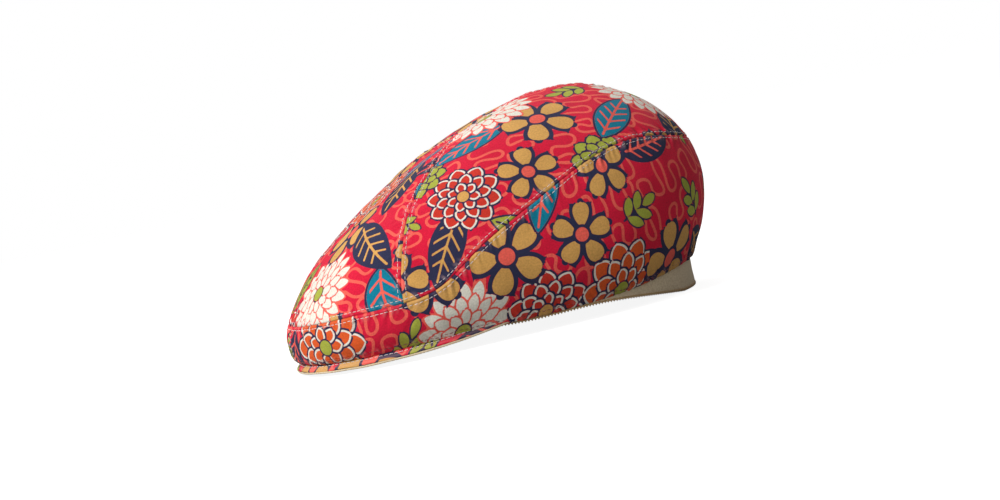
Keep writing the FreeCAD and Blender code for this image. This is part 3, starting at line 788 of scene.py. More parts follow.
class Nodes:
    """A material under construction."""

    def __init__(self, name):
        self.material = bpy.data.materials.new(name)
        self.material.use_nodes = True
        self.tree = self.material.node_tree
        self.tree.nodes.clear()
        self.output = self.tree.nodes.new("ShaderNodeOutputMaterial")

    def add(self, kind, inputs=None, **settings):
        node = self.tree.nodes.new(kind)
        for key, value in settings.items():
            setattr(node, key, value)
        for key, value in (inputs or {}).items():
            if isinstance(value, bpy.types.NodeSocket):
                self.tree.links.new(value, node.inputs[key])
            else:
                node.inputs[key].default_value = value
        return node

    def attribute(self, name, output="Fac"):
        return self.add("ShaderNodeAttribute", attribute_name=name).outputs[output]

    def between(self, value, low, high, at_low=0.0, at_high=1.0):
        """A value carried smoothly from one range to another."""
        inputs = {"Value": value, "From Min": low, "From Max": high,
                  "To Min": at_low, "To Max": at_high}
        return self.add("ShaderNodeMapRange", inputs, interpolation_type="SMOOTHSTEP").outputs[0]

    def mix(self, share, first, second, how="MIX"):
        node = self.add("ShaderNodeMix", {0: share, 6: first, 7: second}, data_type="RGBA",
                        blend_type=how)
        return node.outputs[2]

    def noise(self, place, scale, detail=2.0):
        inputs = {"Vector": place, "Scale": scale, "Detail": detail}
        return self.add("ShaderNodeTexNoise", inputs).outputs["Fac"]

    def calculate(self, operation, first, second):
        return self.add("ShaderNodeMath", {0: first, 1: second}, operation=operation).outputs[0]

    def object_place(self):
        return self.add("ShaderNodeTexCoord").outputs["Object"]

    def weave(self, place, threads, depth):
        """Bump from two crossing sets of threads. place is in units in which they are counted."""
        bands = [self.add("ShaderNodeTexWave", {"Vector": place, "Scale": threads, "Distortion": 1.2,
                                                "Detail": 1.0}, bands_direction=axis).outputs["Fac"]
                 for axis in "XY"]
        crossed = self.calculate("MAXIMUM", *bands)
        rough = self.calculate("ADD", crossed, self.noise(place, threads * 0.35))
        return self.add("ShaderNodeBump", {"Height": rough, "Distance": depth,
                                           "Strength": 0.8}).outputs["Normal"]

    def finish(self, colour, normal=None, **values):
        shader = self.add("ShaderNodeBsdfPrincipled", {"Base Color": colour, **values})
        if normal is not None:
            self.tree.links.new(normal, shader.inputs["Normal"])
        self.tree.links.new(shader.outputs[0], self.output.inputs["Surface"])
        return self.material


def printed_cotton():
    """The shell: eight inks on a red ground, lightened a little on seam ridges and pucker crests,
    partly as wear and partly as a painted highlight.
    """
    nodes = Nodes("printed_cotton")
    place = nodes.attribute("flat", "Vector")
    wobble = nodes.noise(place, 1.6)
    edge = nodes.calculate("MULTIPLY", nodes.calculate("SUBTRACT", wobble, 0.5), 0.5)
    colour = GROUND_TONE
    for ink in INKS:
        distance = nodes.calculate("ADD", nodes.attribute(ink), edge)
        printed_here = nodes.between(distance, -INK_SOFTNESS, INK_SOFTNESS, 1.0, 0.0)
        colour = nodes.mix(printed_here, colour, INK_TONES[ink])
    grain = nodes.between(nodes.noise(place, 0.9, 4.0), 0.3, 0.7, 0.80, 1.0)
    patchy = nodes.between(nodes.noise(place, 0.045, 2.0), 0.3, 0.7, 0.90, 1.0)
    shade = nodes.calculate("MULTIPLY", grain, patchy)
    colour = nodes.mix(1.0, colour, nodes.add("ShaderNodeCombineColor", {
        0: shade, 1: shade, 2: shade}).outputs[0], "MULTIPLY")
    # Mixes in the pale tone where the cloth stands up: partly wear, partly a painted highlight.
    wear_and_highlight_share = nodes.calculate("MULTIPLY", nodes.attribute("wear_and_highlight"), WEAR_AND_HIGHLIGHT_STRENGTH)
    colour = nodes.mix(wear_and_highlight_share, colour, WEAR_AND_HIGHLIGHT_TONE)
    return nodes.finish(colour, nodes.weave(place, 0.62, 0.00010), **{
        "Roughness": 0.88, "Specular IOR Level": 0.18, "Sheen Weight": 0.06,
        "Sheen Roughness": 0.4})


def plain_cloth(name, colour, shade, threads, depth=0.00010):
    """A woven cloth of one colour with slubs, in object coordinates."""
    nodes = Nodes(name)
    place = nodes.object_place()
    slubs = nodes.noise(place, 900.0, 4.0)
    stain = nodes.noise(place, 28.0, 3.0)
    mixed = nodes.mix(nodes.between(slubs, 0.32, 0.68), shade, colour)
    mixed = nodes.mix(nodes.between(stain, 0.35, 0.75, 0.0, 0.35), mixed, shade)
    return nodes.finish(mixed, nodes.weave(place, threads, depth), **{
        "Roughness": 0.85, "Specular IOR Level": 0.25, "Sheen Weight": 0.2,
        "Sheen Roughness": 0.5})


def thread(name, colour, shade):
    """Twisted sewing thread."""
    nodes = Nodes(name)
    place = nodes.object_place()
    strand = nodes.noise(place, 2600.0, 2.0)
    mixed = nodes.mix(nodes.between(strand, 0.3, 0.7), shade, colour)
    twist = nodes.add("ShaderNodeBump", {"Height": strand, "Distance": 0.00012}).outputs["Normal"]
    return nodes.finish(mixed, twist, **{"Roughness": 0.55, "Specular IOR Level": 0.4,
                                         "Sheen Weight": 0.3})


FLOOR_GLOW = 0.9


def floor_paper():
    """A white table that keeps only a faint shadow."""
    nodes = Nodes("floor_paper")
    place = nodes.object_place()
    grain = nodes.between(nodes.noise(place, 60.0, 2.0), 0.3, 0.7)
    colour = nodes.mix(grain, tone(150, 150, 150), tone(158, 158, 158))
    paper = nodes.add("ShaderNodeBsdfDiffuse", {"Color": colour})
    glow = nodes.add("ShaderNodeEmission", {"Color": (1, 1, 1, 1), "Strength": FLOOR_GLOW})
    ray = nodes.add("ShaderNodeLightPath").outputs["Is Camera Ray"]
    dark = nodes.add("ShaderNodeEmission", {"Strength": 0.0})
    shown = nodes.add("ShaderNodeMixShader", {0: ray, 1: dark.outputs[0], 2: glow.outputs[0]})
    both = nodes.add("ShaderNodeAddShader", {0: paper.outputs[0], 1: shown.outputs[0]})
    nodes.tree.links.new(both.outputs[0], nodes.output.inputs["Surface"])
    return nodes.material


# ---------------------------------------------------------------- the shell's panels

PANEL_RADIUS = 92.0
SIDE_GRID = (88, 470)
TOP_GRID = (140, 315)
FRONT_GRID = (128, 340)
HEM_ROLL = 0.75
HEM_RETURN = (9.0, 6.0, 3.5, 1.5)
HEM_BENDS = (180, 150, 120, 90, 60, 30)
HEM_CLOTH = SHELL_CLOTH * 0.6
HEM_FOLD = 3.5
SIDE_PRINT_HEADING = 4.0
UPPER_PRINT_HEADING = 84.0
RAY_LENGTH = 60


def flat_place(points, middle, across, up):
    """Flat coordinates round a place on the crown: its distance, along its direction."""
    offset = points - middle
    far = np.linalg.norm(offset, axis=-1)
    spread = 2 * PANEL_RADIUS * np.arcsin(np.clip(far / 2 / PANEL_RADIUS, 0, 1))
    a, b = offset @ across, offset @ up
    scale = spread / np.maximum(np.hypot(a, b), 1e-9)
    return a * scale, b * scale


def slerp(first, second, share):
    """Directions between two directions."""
    angle = np.arccos(np.clip(np.sum(first * second, axis=-1, keepdims=True), -1, 1))
    safe = np.maximum(np.sin(angle), 1e-9)
    mixed = (np.sin((1 - share) * angle) * first + np.sin(share * angle) * second) / safe
    return np.where(angle < 1e-6, first, mixed)


def top_grid(surface, shape):
    """A grid over the left top panel: rows from the side seam up to the centre seam."""
    rows, columns = shape
    low = unit(spaced(surface.seam_behind, columns) - CORE)
    high = unit(spaced(surface.centre, columns) - CORE)
    front = unit(spaced(surface.front_seam, rows) - CORE)
    up = np.linspace(0, 1, rows)[:, None, None]
    along = np.linspace(0, 1, columns)[None, :, None]
    between = slerp(low[None], high[None], up)
    between = between + (1 - along) * (front[:, None] - between[:, :1])
    grid = surface.projected(CORE + RAY_LENGTH * between)
    grid[0], grid[-1] = spaced(surface.seam_behind, columns), spaced(surface.centre, columns)
    grid[:, 0] = spaced(surface.front_seam, rows)
    return grid


def front_grid(surface, shape):
    """A grid over the front panel, from its left corner to its right one."""
    rows, columns = shape
    low_line = np.concatenate([surface.seam_ahead[::-1], surface.seam_ahead[1:] * MIRROR])
    high_line = np.concatenate([surface.front_seam, surface.front_seam[-2::-1] * MIRROR])
    low, high = spaced(low_line, columns), spaced(high_line, columns)
    up = np.linspace(0, 1, rows)[:, None, None]
    between = slerp(unit(low - CORE)[None], unit(high - CORE)[None], up)
    grid = surface.projected(CORE + RAY_LENGTH * between)
    grid[0], grid[-1] = low, high
    grid[:, 0], grid[:, -1] = low[0], low[-1]
    return grid


def side_grid(surface, shape, lower_line):
    """A grid over the left side panel from its lower edge up to the crown seam."""
    rows, columns = shape
    fine = np.linspace(0, math.pi, 2000)
    outline = surface.shape(fine, np.full(fine.shape, 40.0))
    angles = np.interp(np.linspace(0, runs(outline)[-1], columns), runs(outline), fine)
    low = surface.seam_height(angles, lower_line)
    high = surface.seam_height(angles, crown_seam_line)
    up = np.linspace(0, 1, rows)[:, None]
    heights = low + (high - low) * up
    return surface.shape(angles[None, :], heights), runs(outline)[-1], heights - low


def shell_side(surface, sewing, name, side, motifs, seed):
    """A side panel with its hem turned up inside."""
    plain, length, up = side_grid(surface, SIDE_GRID, hem_line)
    plain = plain * (side, 1, 1)
    normals = surface.settled(plain)[1]
    height, wear_and_highlight = sewing.relief(plain)
    cloth = plain + normals * height[..., None]
    rising = unit(plain[4] - plain[0])
    edge, out = cloth[0], normals[0]
    column = np.arange(cloth.shape[1])
    rows = []
    for inside in HEM_RETURN:
        level = np.minimum((inside / up[-1] * (len(cloth) - 1)).astype(int), len(cloth) // 2)
        rows.append(cloth[level, column] - normals[level, column] * 2 * HEM_ROLL)
    bends = np.radians(HEM_BENDS)
    rows += [edge - out * HEM_ROLL * (1 - math.cos(bend)) - rising * HEM_ROLL * math.sin(bend)
             for bend in bends]
    turned = len(rows)
    points = np.concatenate([np.array(rows), cloth])
    across = np.broadcast_to(np.linspace(0, length, points.shape[1]), points.shape[:2])
    below = [-HEM_FOLD - inside for inside in HEM_RETURN] + [-HEM_ROLL * bend for bend in bends]
    below = np.broadcast_to(np.array(below)[:, None], (turned, points.shape[1]))
    fields = printed(across, np.concatenate([below, up]), motifs, seed,
                     SIDE_PRINT_HEADING)
    fields["wear_and_highlight"] = np.concatenate([np.repeat(wear_and_highlight[:1], turned, axis=0), wear_and_highlight]).ravel()
    outward = np.concatenate([np.repeat(0 * normals[:1], turned, axis=0), normals])
    return sheet_mesh(name, points, outward, HEM_CLOTH, fields)


def shell_upper(surface, sewing, name, grid, flat, motifs, seed, tips):
    """A panel above the crown seam."""
    normals = surface.settled(grid)[1]
    height, wear_and_highlight = sewing.relief(grid)
    fields = printed(*flat, motifs, seed, UPPER_PRINT_HEADING)
    fields["wear_and_highlight"] = wear_and_highlight.ravel()
    return sheet_mesh(name, grid + normals * height[..., None], normals, SHELL_CLOTH, fields, tips)


TOP_MIDDLE = np.array([56.0, 22.0, 118.0])
FRONT_MIDDLE = np.array([0.0, -92.0, 88.0])


def panel_axes(middle, rough_across):
    """Directions across and up a panel in the plane that touches the crown at its middle."""
    out = unit(middle - CORE)
    across = unit(rough_across - out * (rough_across @ out))
    up = np.cross(out, across)
    return across, up * (1 if up[2] > 0 else -1)


def make_shell(surface, sewing, material):
    """The five printed panels."""
    back, left = np.array([0.0, 1.0, 0.0]), np.array([1.0, 0.0, 0.0])
    grid = top_grid(surface, TOP_GRID)
    pieces = []
    for name, side, motifs, seed in (("top_panel_left_cloth", 1, TOP_LEFT, 5),
                                     ("top_panel_right_cloth", -1, TOP_RIGHT, 6)):
        here = grid * (side, 1, 1)
        middle = TOP_MIDDLE * (side, 1, 1)
        flat = flat_place(here, middle, *panel_axes(middle, back))
        pieces.append(shell_upper(surface, sewing, name, here, flat, motifs, seed, (False, True)))
    grid = front_grid(surface, FRONT_GRID)
    flat = flat_place(grid, FRONT_MIDDLE, *panel_axes(FRONT_MIDDLE, left))
    pieces.append(shell_upper(surface, sewing, "front_panel_cloth", grid, flat, FRONT, 7,
                              (True, True)))
    pieces.append(shell_side(surface, sewing, "side_panel_left_cloth", 1, SIDE_LEFT, 8))
    pieces.append(shell_side(surface, sewing, "side_panel_right_cloth", -1, SIDE_RIGHT, 9))
    for piece in pieces:
        node = piece.name.replace("_cloth", "")
        sew_in(piece, material, "shell_print", node)


def sew_in(piece, material, slot, *nodes):
    """Gives a new piece its material and its place in the model."""
    piece.data.materials.append(material)
    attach(piece, "root")
    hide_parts(*nodes)


# ---------------------------------------------------------------- stitching

THREAD_RADIUS = 0.22
THREAD_SIDES = 6
# Along a stitch: (share of its length, share of the thread's radius).
STITCH_SHAPE = ((0.0, 0.35), (0.1, 0.8), (0.28, 1.0), (0.5, 1.0), (0.72, 1.0), (0.9, 0.8),
                (1.0, 0.35))
STITCH_LIFT = 0.17
STITCH_SINK = 0.42
STITCH_SLIP = 0.15
STITCH_SHIFT = 0.13
STITCH_SLANT = 0.08
SEAM_CLEARANCE = 0.6


def stitches(name, rows, seed):
    """Separate stitches along rows. A row is its points and the cloth's directions there."""
    chance = np.random.default_rng(seed)
    shares, sizes = np.array(STITCH_SHAPE).T
    lift = STITCH_LIFT - STITCH_SINK * np.abs(2 * shares - 1) ** 3
    rings = []
    for line, normals in rows:
        along = runs(line)
        count = int(along[-1] / STITCH_PITCH)
        start = np.arange(count) * STITCH_PITCH + chance.uniform(-STITCH_SLIP, STITCH_SLIP, count)
        place = start[:, None] + STITCH * shares
        middle = values_at(place, along, line)
        out = unit(values_at(place, along, normals))
        heading = unit(np.gradient(middle, axis=1))
        aside = np.cross(out, heading)
        sway = chance.uniform(-STITCH_SHIFT, STITCH_SHIFT, (count, 1))
        sway = sway + chance.uniform(-STITCH_SLANT, STITCH_SLANT, (count, 1)) * shares
        middle = middle + out * lift[:, None] + aside * sway[..., None]
        turn = np.arange(THREAD_SIDES) * math.tau / THREAD_SIDES
        ring = (aside[:, :, None] * np.cos(turn)[:, None] + out[:, :, None] * np.sin(turn)[:, None])
        rings.append(middle[:, :, None] + ring * (THREAD_RADIUS * sizes)[:, None, None])
    points = np.concatenate(rings)
    count, steps = points.shape[:2]
    ids = np.arange(points[..., 0].size).reshape(count, steps, THREAD_SIDES)
    wrapped = np.concatenate([ids, ids[:, :, :1]], axis=2)
    quads = np.stack([wrapped[:, :-1, :-1], wrapped[:, :-1, 1:], wrapped[:, 1:, 1:],
                      wrapped[:, 1:, :-1]], -1).reshape(-1, 4)
    return make_mesh(name, points.reshape(-1, 3), [quads, ids[:, 0, ::-1], ids[:, -1]])


def row_beside(surface, sewing, line, offset, trims=(0.0, 0.0)):
    """A row of stitching beside a seam, on the finished cloth."""
    line = spaced(line, int(runs(line)[-1]))
    normals = surface.settled(line)[1]
    aside = np.cross(normals, unit(np.gradient(line, axis=0)))
    moved, normals = surface.settled(line + aside * offset)
    along = runs(moved)
    kept = (along >= trims[0]) & (along <= along[-1] - trims[1])
    moved, normals = moved[kept], normals[kept]
    return moved + normals * sewing.relief(moved)[0][:, None], normals


def make_stitching(surface, sewing, white, red):
    """Twin rows beside the shell's seams, and one row along its hem."""
    lines = sewing.lines
    pair = (-SEAM_ROW, SEAM_ROW)
    past = SEAM_ROW + SEAM_CLEARANCE
    past_hem = HEM_ROW + SEAM_CLEARANCE
    plan = {
        "crown_seam_stitching_left": (("crown_seam_left",), pair, (0.5, 0.5)),
        "crown_seam_stitching_right": (("crown_seam_right",), pair, (0.5, 0.5)),
        "front_seam_stitching": (("front_seam_left", "front_seam_right"), pair, (past, 1.0)),
        "top_centre_stitching": (("top_centre",), pair, (past, past)),
        "back_centre_stitching": (("back_centre",), pair, (past_hem, past)),
        "front_centre_stitching": (("front_centre",), pair, (past_hem, past)),
        "hem_stitching": (("hem_left", "hem_right"), (HEM_ROW,), (0.5, 0.5)),
    }
    for seed, (node, (names, offsets, trims)) in enumerate(plan.items()):
        rows = []
        for name in names:
            for offset in offsets:
                if name == "hem_right":
                    offset = -offset
                rows.append(row_beside(surface, sewing, lines[name], offset, trims))
        piece = stitches(node + "_rows", rows, seed)
        sew_in(piece, red if node == "hem_stitching" else white, "topstitch_thread", node)


# ---------------------------------------------------------------- the peak

PEAK_END = -15.0
PEAK_HALF = 88.0
PEAK_LENGTH = 121.5
PEAK_POWER = 2.3
PEAK_RIM = 3.8
PEAK_SLOPE = 20.0
PEAK_END_RISE = 9.0
PEAK_THICK = 3.2
PEAK_COLUMNS = 420
RIM_RADIUS = PEAK_THICK / 2
RIM_DROP = 1.0
RIM_FILL = 0.05
INNER_OUTSET = 0.6
COVER_CLOTH = 0.55
TOP_BENDS = (78, 64, 52, 42, 34, 28, 22, 16)
UNDER_BENDS = (-84, -66, -46, -28, -12, 2, 12)
BEND_STEP = 0.4
EDGE_TUCK = 0.35
PEAK_STITCHED = math.radians(78)
BOARD_THICK = 1.7
BOARD_DEPTH = 0.75
BOARD_ROWS = 30


def peak_outline(angle):
    """The peak's rim in plan."""
    c, s = np.cos(angle), np.sin(angle)
    x = PEAK_HALF * np.sign(s) * np.abs(s) ** (2 / PEAK_POWER)
    return np.stack([x, PEAK_END - PEAK_LENGTH * np.abs(c) ** (2 / PEAK_POWER)], -1)


def peak_inner(angle):
    """The peak's edge along the head opening, in plan."""
    reach = (HEAD_MIDDLE - PEAK_END) / HEAD_HALF[1]
    widest = math.acos(reach ** (HEAD_POWER / 2))
    return np.stack(head_egg(angle * widest / (math.pi / 2), INNER_OUTSET), -1)


def end_rise(y):
    """How much the peak climbs towards its ends."""
    ahead = np.maximum(PEAK_END - y, 0)
    return PEAK_END_RISE * (1 - np.minimum(ahead / PEAK_LENGTH, 1)) ** 2


def peak_height(plan):
    """Height of the peak's underside away from its rim."""
    ahead = np.maximum(PEAK_END - plan[..., 1], 0)
    sideways = (np.abs(plan[..., 0]) / PEAK_HALF) ** PEAK_POWER
    inside = np.maximum(1 - sideways - (ahead / PEAK_LENGTH) ** PEAK_POWER, 0)
    rim = PEAK_RIM * (1 - np.exp(-inside / RIM_FILL))
    return rim + PEAK_SLOPE * inside + end_rise(plan[..., 1])


def peak_rows(angles, from_edge, raised, bends):
    """Rows of points from the head opening to the rim, then round the rim by the bends."""
    outer, inner = peak_outline(angles), peak_inner(angles)
    width = np.linalg.norm(outer - inner, axis=-1, keepdims=True)
    out = (outer - inner) / width
    rim = outer - out * RIM_RADIUS
    foot = peak_height(rim)
    rows = []
    for distance in from_edge:
        plan = outer - out * np.minimum(distance, width)
        rows.append(np.concatenate([plan, (peak_height(plan) + raised)[:, None]], -1))
    for bend in np.radians(bends):
        plan = rim + out * RIM_RADIUS * math.cos(bend)
        height = foot + RIM_RADIUS * (1 + math.sin(bend)) - RIM_DROP * max(math.cos(bend), 0)
        rows.append(np.concatenate([plan, height[:, None]], -1))
    return np.array(rows)


def top_unevenness(points):
    return 0.25 * waves(points, 31, 14, 40)


def under_unevenness(points):
    return 0.2 * waves(points, 32, 14, 40)


def make_peak(print_material, beige, board_material, thread_material):
    """The printed top cover rolls over the rim, down to the edge of the plain under cover."""
    angles = np.linspace(-math.pi / 2, math.pi / 2, PEAK_COLUMNS)
    distances = np.concatenate([np.linspace(60, 14, 16)[:-1], np.linspace(14, RIM_RADIUS, 18)])
    top = peak_rows(angles, distances, PEAK_THICK, TOP_BENDS)
    seam_dip = np.zeros(len(top))
    seam_dip[-1] = EDGE_TUCK
    top[..., 2] += top_unevenness(top)
    top[:, :, :2] -= unit(top[:, :, :2]) * seam_dip[:, None, None]
    past_rim = np.arange(1, len(TOP_BENDS) + 1)
    inward = np.concatenate([distances, RIM_RADIUS - BEND_STEP * past_rim])
    fields = printed(np.broadcast_to(runs(peak_outline(angles)), top.shape[:2]),
                     np.broadcast_to(inward[:, None], top.shape[:2]), PEAK, 10, 0.0)
    # A pale band where the cover rolls over the rim: partly wear, partly a painted highlight.
    fields["wear_and_highlight"] = np.broadcast_to(np.exp(-((inward[:, None] - 1.0) / 1.1) ** 2) * 0.7,
                                     top.shape[:2]).ravel()
    upward = np.broadcast_to(UPWARD, top.shape)
    cover = sheet_mesh("peak_top_cover_cloth", top, upward, COVER_CLOTH, fields)
    sew_in(cover, print_material, "shell_print", "peak_top_cover")
    under = peak_rows(angles, distances, 0.0, UNDER_BENDS)
    under[..., 2] += under_unevenness(under)
    base = sheet_mesh("peak_under_cover_cloth", under, -upward[:len(under)], COVER_CLOTH)
    sew_in(base, beige, "band_cotton", "peak_under_cover")
    rows = []
    span = np.linspace(-PEAK_STITCHED, PEAK_STITCHED, 400)
    for raised, unevenness, out in ((PEAK_THICK, top_unevenness, UPWARD),
                                    (0.0, under_unevenness, -UPWARD)):
        row = peak_rows(span, (SEAM_ROW,), raised, ())[0]
        row[:, 2] += unevenness(row)
        rows.append((row, np.broadcast_to(out, row.shape)))
    board = peak_rows(angles[::3], np.linspace(58, 3.0, BOARD_ROWS), PEAK_THICK - BOARD_DEPTH, ())
    stiffener = sheet_mesh("peak_board_stiffener", board, upward[:BOARD_ROWS, ::3], BOARD_THICK)
    sew_in(stiffener, board_material, "peak_stiffener", "peak_board")
    piece = stitches("peak_edge_stitching_rows", rows, 40)
    sew_in(piece, thread_material, "topstitch_thread", "peak_edge_stitching")


# ---------------------------------------------------------------- the sweatband

BAND_HEIGHT = 31.0
BAND_OUT = 0.5
BAND_IN = -2.3
BAND_COLUMNS = 620
BAND_FOOT = 1.6
BAND_FOOT_ROLL = 0.9
BAND_TOP_ROLL = 1.2
BAND_BENDS = (35, 65, 90, 115, 145)
BAND_RIPPLE = 0.12
PICOT_PITCH = 2.0
PICOT_HEIGHT = 1.3
PICOT_STEPS = 8


def band_points(angles, outset, above):
    """Points at a height above the sweatband's lower edge."""
    x, y = head_egg(angles, 0.0)
    foot = band_line(y)
    place = np.stack([x, y, foot], -1)
    wavy = outset + 0.35 * waves(place, 21, 30, 80)
    x, y = head_egg(angles, wavy)
    return np.stack([x, y, foot + above], -1)


def make_sweatband(beige, tan, thread_material):
    """A folded band as a closed ring, its picot edging and its row of stitches."""
    angles = np.linspace(0, math.tau, BAND_COLUMNS + 1)[:-1]
    shoulder = BAND_HEIGHT - BAND_TOP_ROLL
    faces = np.linspace(BAND_FOOT, shoulder, 16)
    middle, half = (BAND_OUT + BAND_IN) / 2, (BAND_OUT - BAND_IN) / 2
    plan = [(BAND_OUT + BAND_RIPPLE * math.sin(above * 0.5), above) for above in faces]
    plan += [(middle + half * math.cos(bend), shoulder + BAND_TOP_ROLL * math.sin(bend))
             for bend in np.radians(BAND_BENDS)]
    plan += [(BAND_IN + BAND_RIPPLE * math.sin(above * 0.4), above) for above in faces[::-1]]
    plan += [(middle - half * math.cos(bend), BAND_FOOT - BAND_FOOT_ROLL * math.sin(bend))
             for bend in np.radians(BAND_BENDS)]
    points = np.array([band_points(angles, outset, above) for outset, above in plan])
    band = tube_mesh("sweatband_cloth", points, FORWARD)
    sew_in(band, beige, "band_cotton", "sweatband")

    length = runs(band_points(angles, 0.0, 0.0))[-1]
    teeth = round(length / PICOT_PITCH)
    angles = np.linspace(0, math.tau, teeth * PICOT_STEPS + 1)[:-1]
    along = runs(band_points(angles, 0.0, 0.0))
    tooth = 0.5 + 0.5 * np.cos(along * math.tau * teeth / (along[-1] + along[1]))
    rows = []
    for bend in np.radians(np.arange(0, 360, 45)):
        reach = np.where(math.sin(bend) < 0, 0.2 + 1.1 * tooth ** 0.8, 0.7 + 0.3 * tooth)
        swell = 0.6 * (0.55 + 0.45 * tooth)
        rows.append(band_points(angles, BAND_OUT - 0.1 + swell * math.cos(bend),
                                PICOT_HEIGHT + reach * math.sin(bend)))
    edging = tube_mesh("sweatband_edging_picot", np.array(rows), FORWARD)
    sew_in(edging, tan, "edging_thread", "sweatband_edging")

    angles = np.linspace(0, math.tau, 700)
    row = band_points(angles, BAND_IN, HEM_ROW)
    plan = np.stack([row[:, 0], row[:, 1] - HEAD_MIDDLE, 0 * row[:, 0]], -1)
    piece = stitches("sweatband_stitching_rows", [(row, -unit(plan))], 41)
    sew_in(piece, thread_material, "topstitch_thread", "sweatband_stitching")


# ---------------------------------------------------------------- the lining and labels

LINING_CLOTH = 0.4
LINING_SLACK = 0.7
LINING_FOLLOWS = 0.5
LABEL_BEHIND = 2.05
LABEL_CLOTH = 0.4
SIZE_LABEL_CLOTH = 0.35
SIZE_LABEL_PROUD = 0.2
SELVEDGE = 0.12


def lining_unevenness(points):
    return 0.45 * waves(points, 51, 16, 44, 12)


def make_lining(sewing, material):
    """Five loose panels inside the shell, which fall in where the shell does."""
    surface = Surface(lining, CROWN_TOP - LINING_GAP, columns=240, rows=100)
    top = top_grid(surface, (60, 120))
    front = front_grid(surface, (54, 130))
    side = side_grid(surface, (24, 220), lining_line)[0]
    plan = (("top_lining_left", top, 1, (False, True)), ("top_lining_right", top, -1, (False, True)),
            ("front_lining", front, 1, (True, True)), ("side_lining_left", side, 1, (False, False)),
            ("side_lining_right", side, -1, (False, False)))
    for node, grid, flip, tips in plan:
        grid = grid * (flip, 1, 1)
        normals = surface.settled(grid)[1]
        follow = np.minimum(sewing.relief(grid)[0] + LINING_FOLLOWS, 0)
        slack = -LINING_SLACK + lining_unevenness(grid) + follow
        piece = sheet_mesh(node + "_cloth", grid + normals * slack[..., None], normals,
                           LINING_CLOTH, None, tips)
        sew_in(piece, material, "lining_cotton", node)
    return surface


def label_mesh(name, grid, outward, thickness):
    """A woven label with a heavier selvedge round it."""
    rows, columns = grid.shape[:2]
    u, v = np.meshgrid(np.linspace(-1, 1, columns), np.linspace(-1, 1, rows))
    border = smoothstep(np.maximum(np.abs(u), np.abs(v)), 0.86, 0.92)
    return sheet_mesh(name, grid + outward * SELVEDGE * border[..., None], outward, thickness)


def make_labels(surface, material):
    """Two blank labels: one in the crown, and a small one at the back of the sweatband."""
    low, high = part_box("lining_label")
    x = np.linspace(low[0], high[0], 40) / MM
    y = np.linspace(low[1], high[1], 60) / MM
    spread = np.stack(np.meshgrid(x, y), -1)
    spread = np.concatenate([spread, np.full(spread.shape[:2] + (1,), CROWN_TOP)], -1)
    places, normals = surface.settled(surface.projected(spread))
    slack = LABEL_BEHIND - lining_unevenness(places)
    piece = label_mesh("lining_label_woven", places - normals * slack[..., None], -normals,
                       LABEL_CLOTH)
    sew_in(piece, material, "label_weave", "lining_label")
    low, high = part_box("size_label")
    half = (high[0] - low[0]) / 2 / MM
    sweep = np.linspace(-half, half, 40) / HEAD_HALF[0]
    grid = np.array([band_points(math.pi - np.arcsin(sweep), BAND_IN - SIZE_LABEL_PROUD, above)
                     for above in np.linspace(low[2], high[2], 24) / MM])
    piece = label_mesh("size_label_woven", grid, np.broadcast_to(FORWARD, grid.shape),
                       SIZE_LABEL_CLOTH)
    sew_in(piece, material, "label_weave", "size_label")


# ---------------------------------------------------------------- the studio

LIT_PLACE = (0, 0, 0.07)
WORLD_LIGHT = 0.30
FLOOR_HALF = 6.0
# Each light: (name, place, size, power).
LIGHTS = (
    ("key", (0.7, -1.5, 1.6), 0.8, 46),
    ("fill", (1.1, -2.0, 0.35), 1.2, 16),
    ("rim", (-1.0, 0.2, 1.4), 1.0, 10),
)


def make_light(name, place, size, power):
    """A round soft light that points at the cap."""
    data = bpy.data.lights.new(name, "AREA")
    data.shape, data.size, data.energy = "DISK", size, power
    lamp = bpy.data.objects.new(name, data)
    direction = Vector(LIT_PLACE) - Vector(place)
    turn = direction.to_track_quat("-Z", "Y").to_matrix().to_4x4()
    lamp.matrix_world = Matrix.Translation(place) @ turn
    bpy.context.scene.collection.objects.link(lamp)


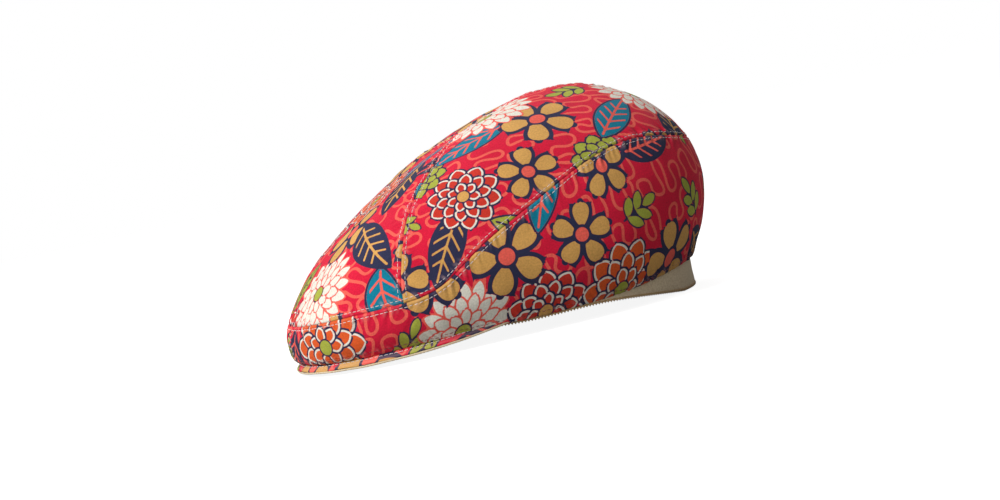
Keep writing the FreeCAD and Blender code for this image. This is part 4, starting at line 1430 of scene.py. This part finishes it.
def make_studio():
    """Three soft lights, a white surround and a white floor."""
    for light in LIGHTS:
        make_light(*light)
    world = bpy.data.worlds.new("studio")
    world.use_nodes = True
    tree = world.node_tree
    shine = tree.nodes["Background"]
    shine.inputs["Color"].default_value = (1, 1, 1, 1)
    seen = tree.nodes.new("ShaderNodeBackground")
    seen.inputs["Color"].default_value = (1, 1, 1, 1)
    seen.inputs["Strength"].default_value = 1.0
    shine.inputs["Strength"].default_value = WORLD_LIGHT
    ray = tree.nodes.new("ShaderNodeLightPath")
    mix = tree.nodes.new("ShaderNodeMixShader")
    tree.links.new(ray.outputs["Is Camera Ray"], mix.inputs[0])
    tree.links.new(shine.outputs[0], mix.inputs[1])
    tree.links.new(seen.outputs[0], mix.inputs[2])
    tree.links.new(mix.outputs[0], tree.nodes["World Output"].inputs["Surface"])
    bpy.context.scene.world = world
    bpy.context.scene.view_settings.view_transform = "Standard"
    corners = [(x * FLOOR_HALF, y * FLOOR_HALF, 0.0)
               for x, y in ((-1, -1), (1, -1), (1, 1), (-1, 1))]
    mesh = bpy.data.meshes.new("floor")
    mesh.from_pydata(corners, [], [(0, 1, 2, 3)])
    floor = bpy.data.objects.new("floor", mesh)
    mesh.materials.append(floor_paper())
    bpy.context.scene.collection.objects.link(floor)


def finish_hidden_parts(thread_material):
    """Materials for the CAD parts that stay, which the cloth hides."""
    interlining = plain_cloth("interlining", tone(240, 240, 236), tone(222, 222, 216), 300)
    elastic = plain_cloth("elastic_tape", tone(244, 244, 240), tone(214, 214, 208), 420, 2e-4)
    materials = {
        "sweatband_interlining": interlining,
        "back_elastic": elastic,
        "crown_tack_stitches": thread_material,
    }
    for node, material in materials.items():
        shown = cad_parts[node]
        for place in shown.material_slots:
            place.material = material
        if not shown.material_slots:
            shown.data.materials.append(material)


def main():
    make_camera()
    surface = Surface(crown, CROWN_TOP)
    sewing = Sewing(surface)
    cotton = printed_cotton()
    beige = plain_cloth("band_twill", tone(230, 212, 180), tone(208, 188, 154), 520)
    calico = plain_cloth("lining_calico", tone(222, 212, 192), tone(200, 188, 164), 480)
    woven = plain_cloth("label_damask", tone(236, 230, 216), tone(214, 206, 190), 700, 6e-5)
    white_thread = thread("topstitch", tone(232, 222, 216), tone(196, 184, 184))
    tan_thread = thread("picot_thread", tone(206, 172, 122), tone(166, 132, 86))
    make_shell(surface, sewing, cotton)
    red_thread = thread("hem_thread", tone(150, 62, 66), tone(112, 40, 48))
    make_stitching(surface, sewing, white_thread, red_thread)
    board = plain_cloth("peak_board_fibre", tone(226, 226, 220), tone(206, 206, 198), 90, 2e-5)
    make_peak(cotton, beige, board, white_thread)
    make_sweatband(beige, tan_thread, white_thread)
    make_labels(make_lining(sewing, calico), woven)
    finish_hidden_parts(white_thread)
    make_studio()


main()
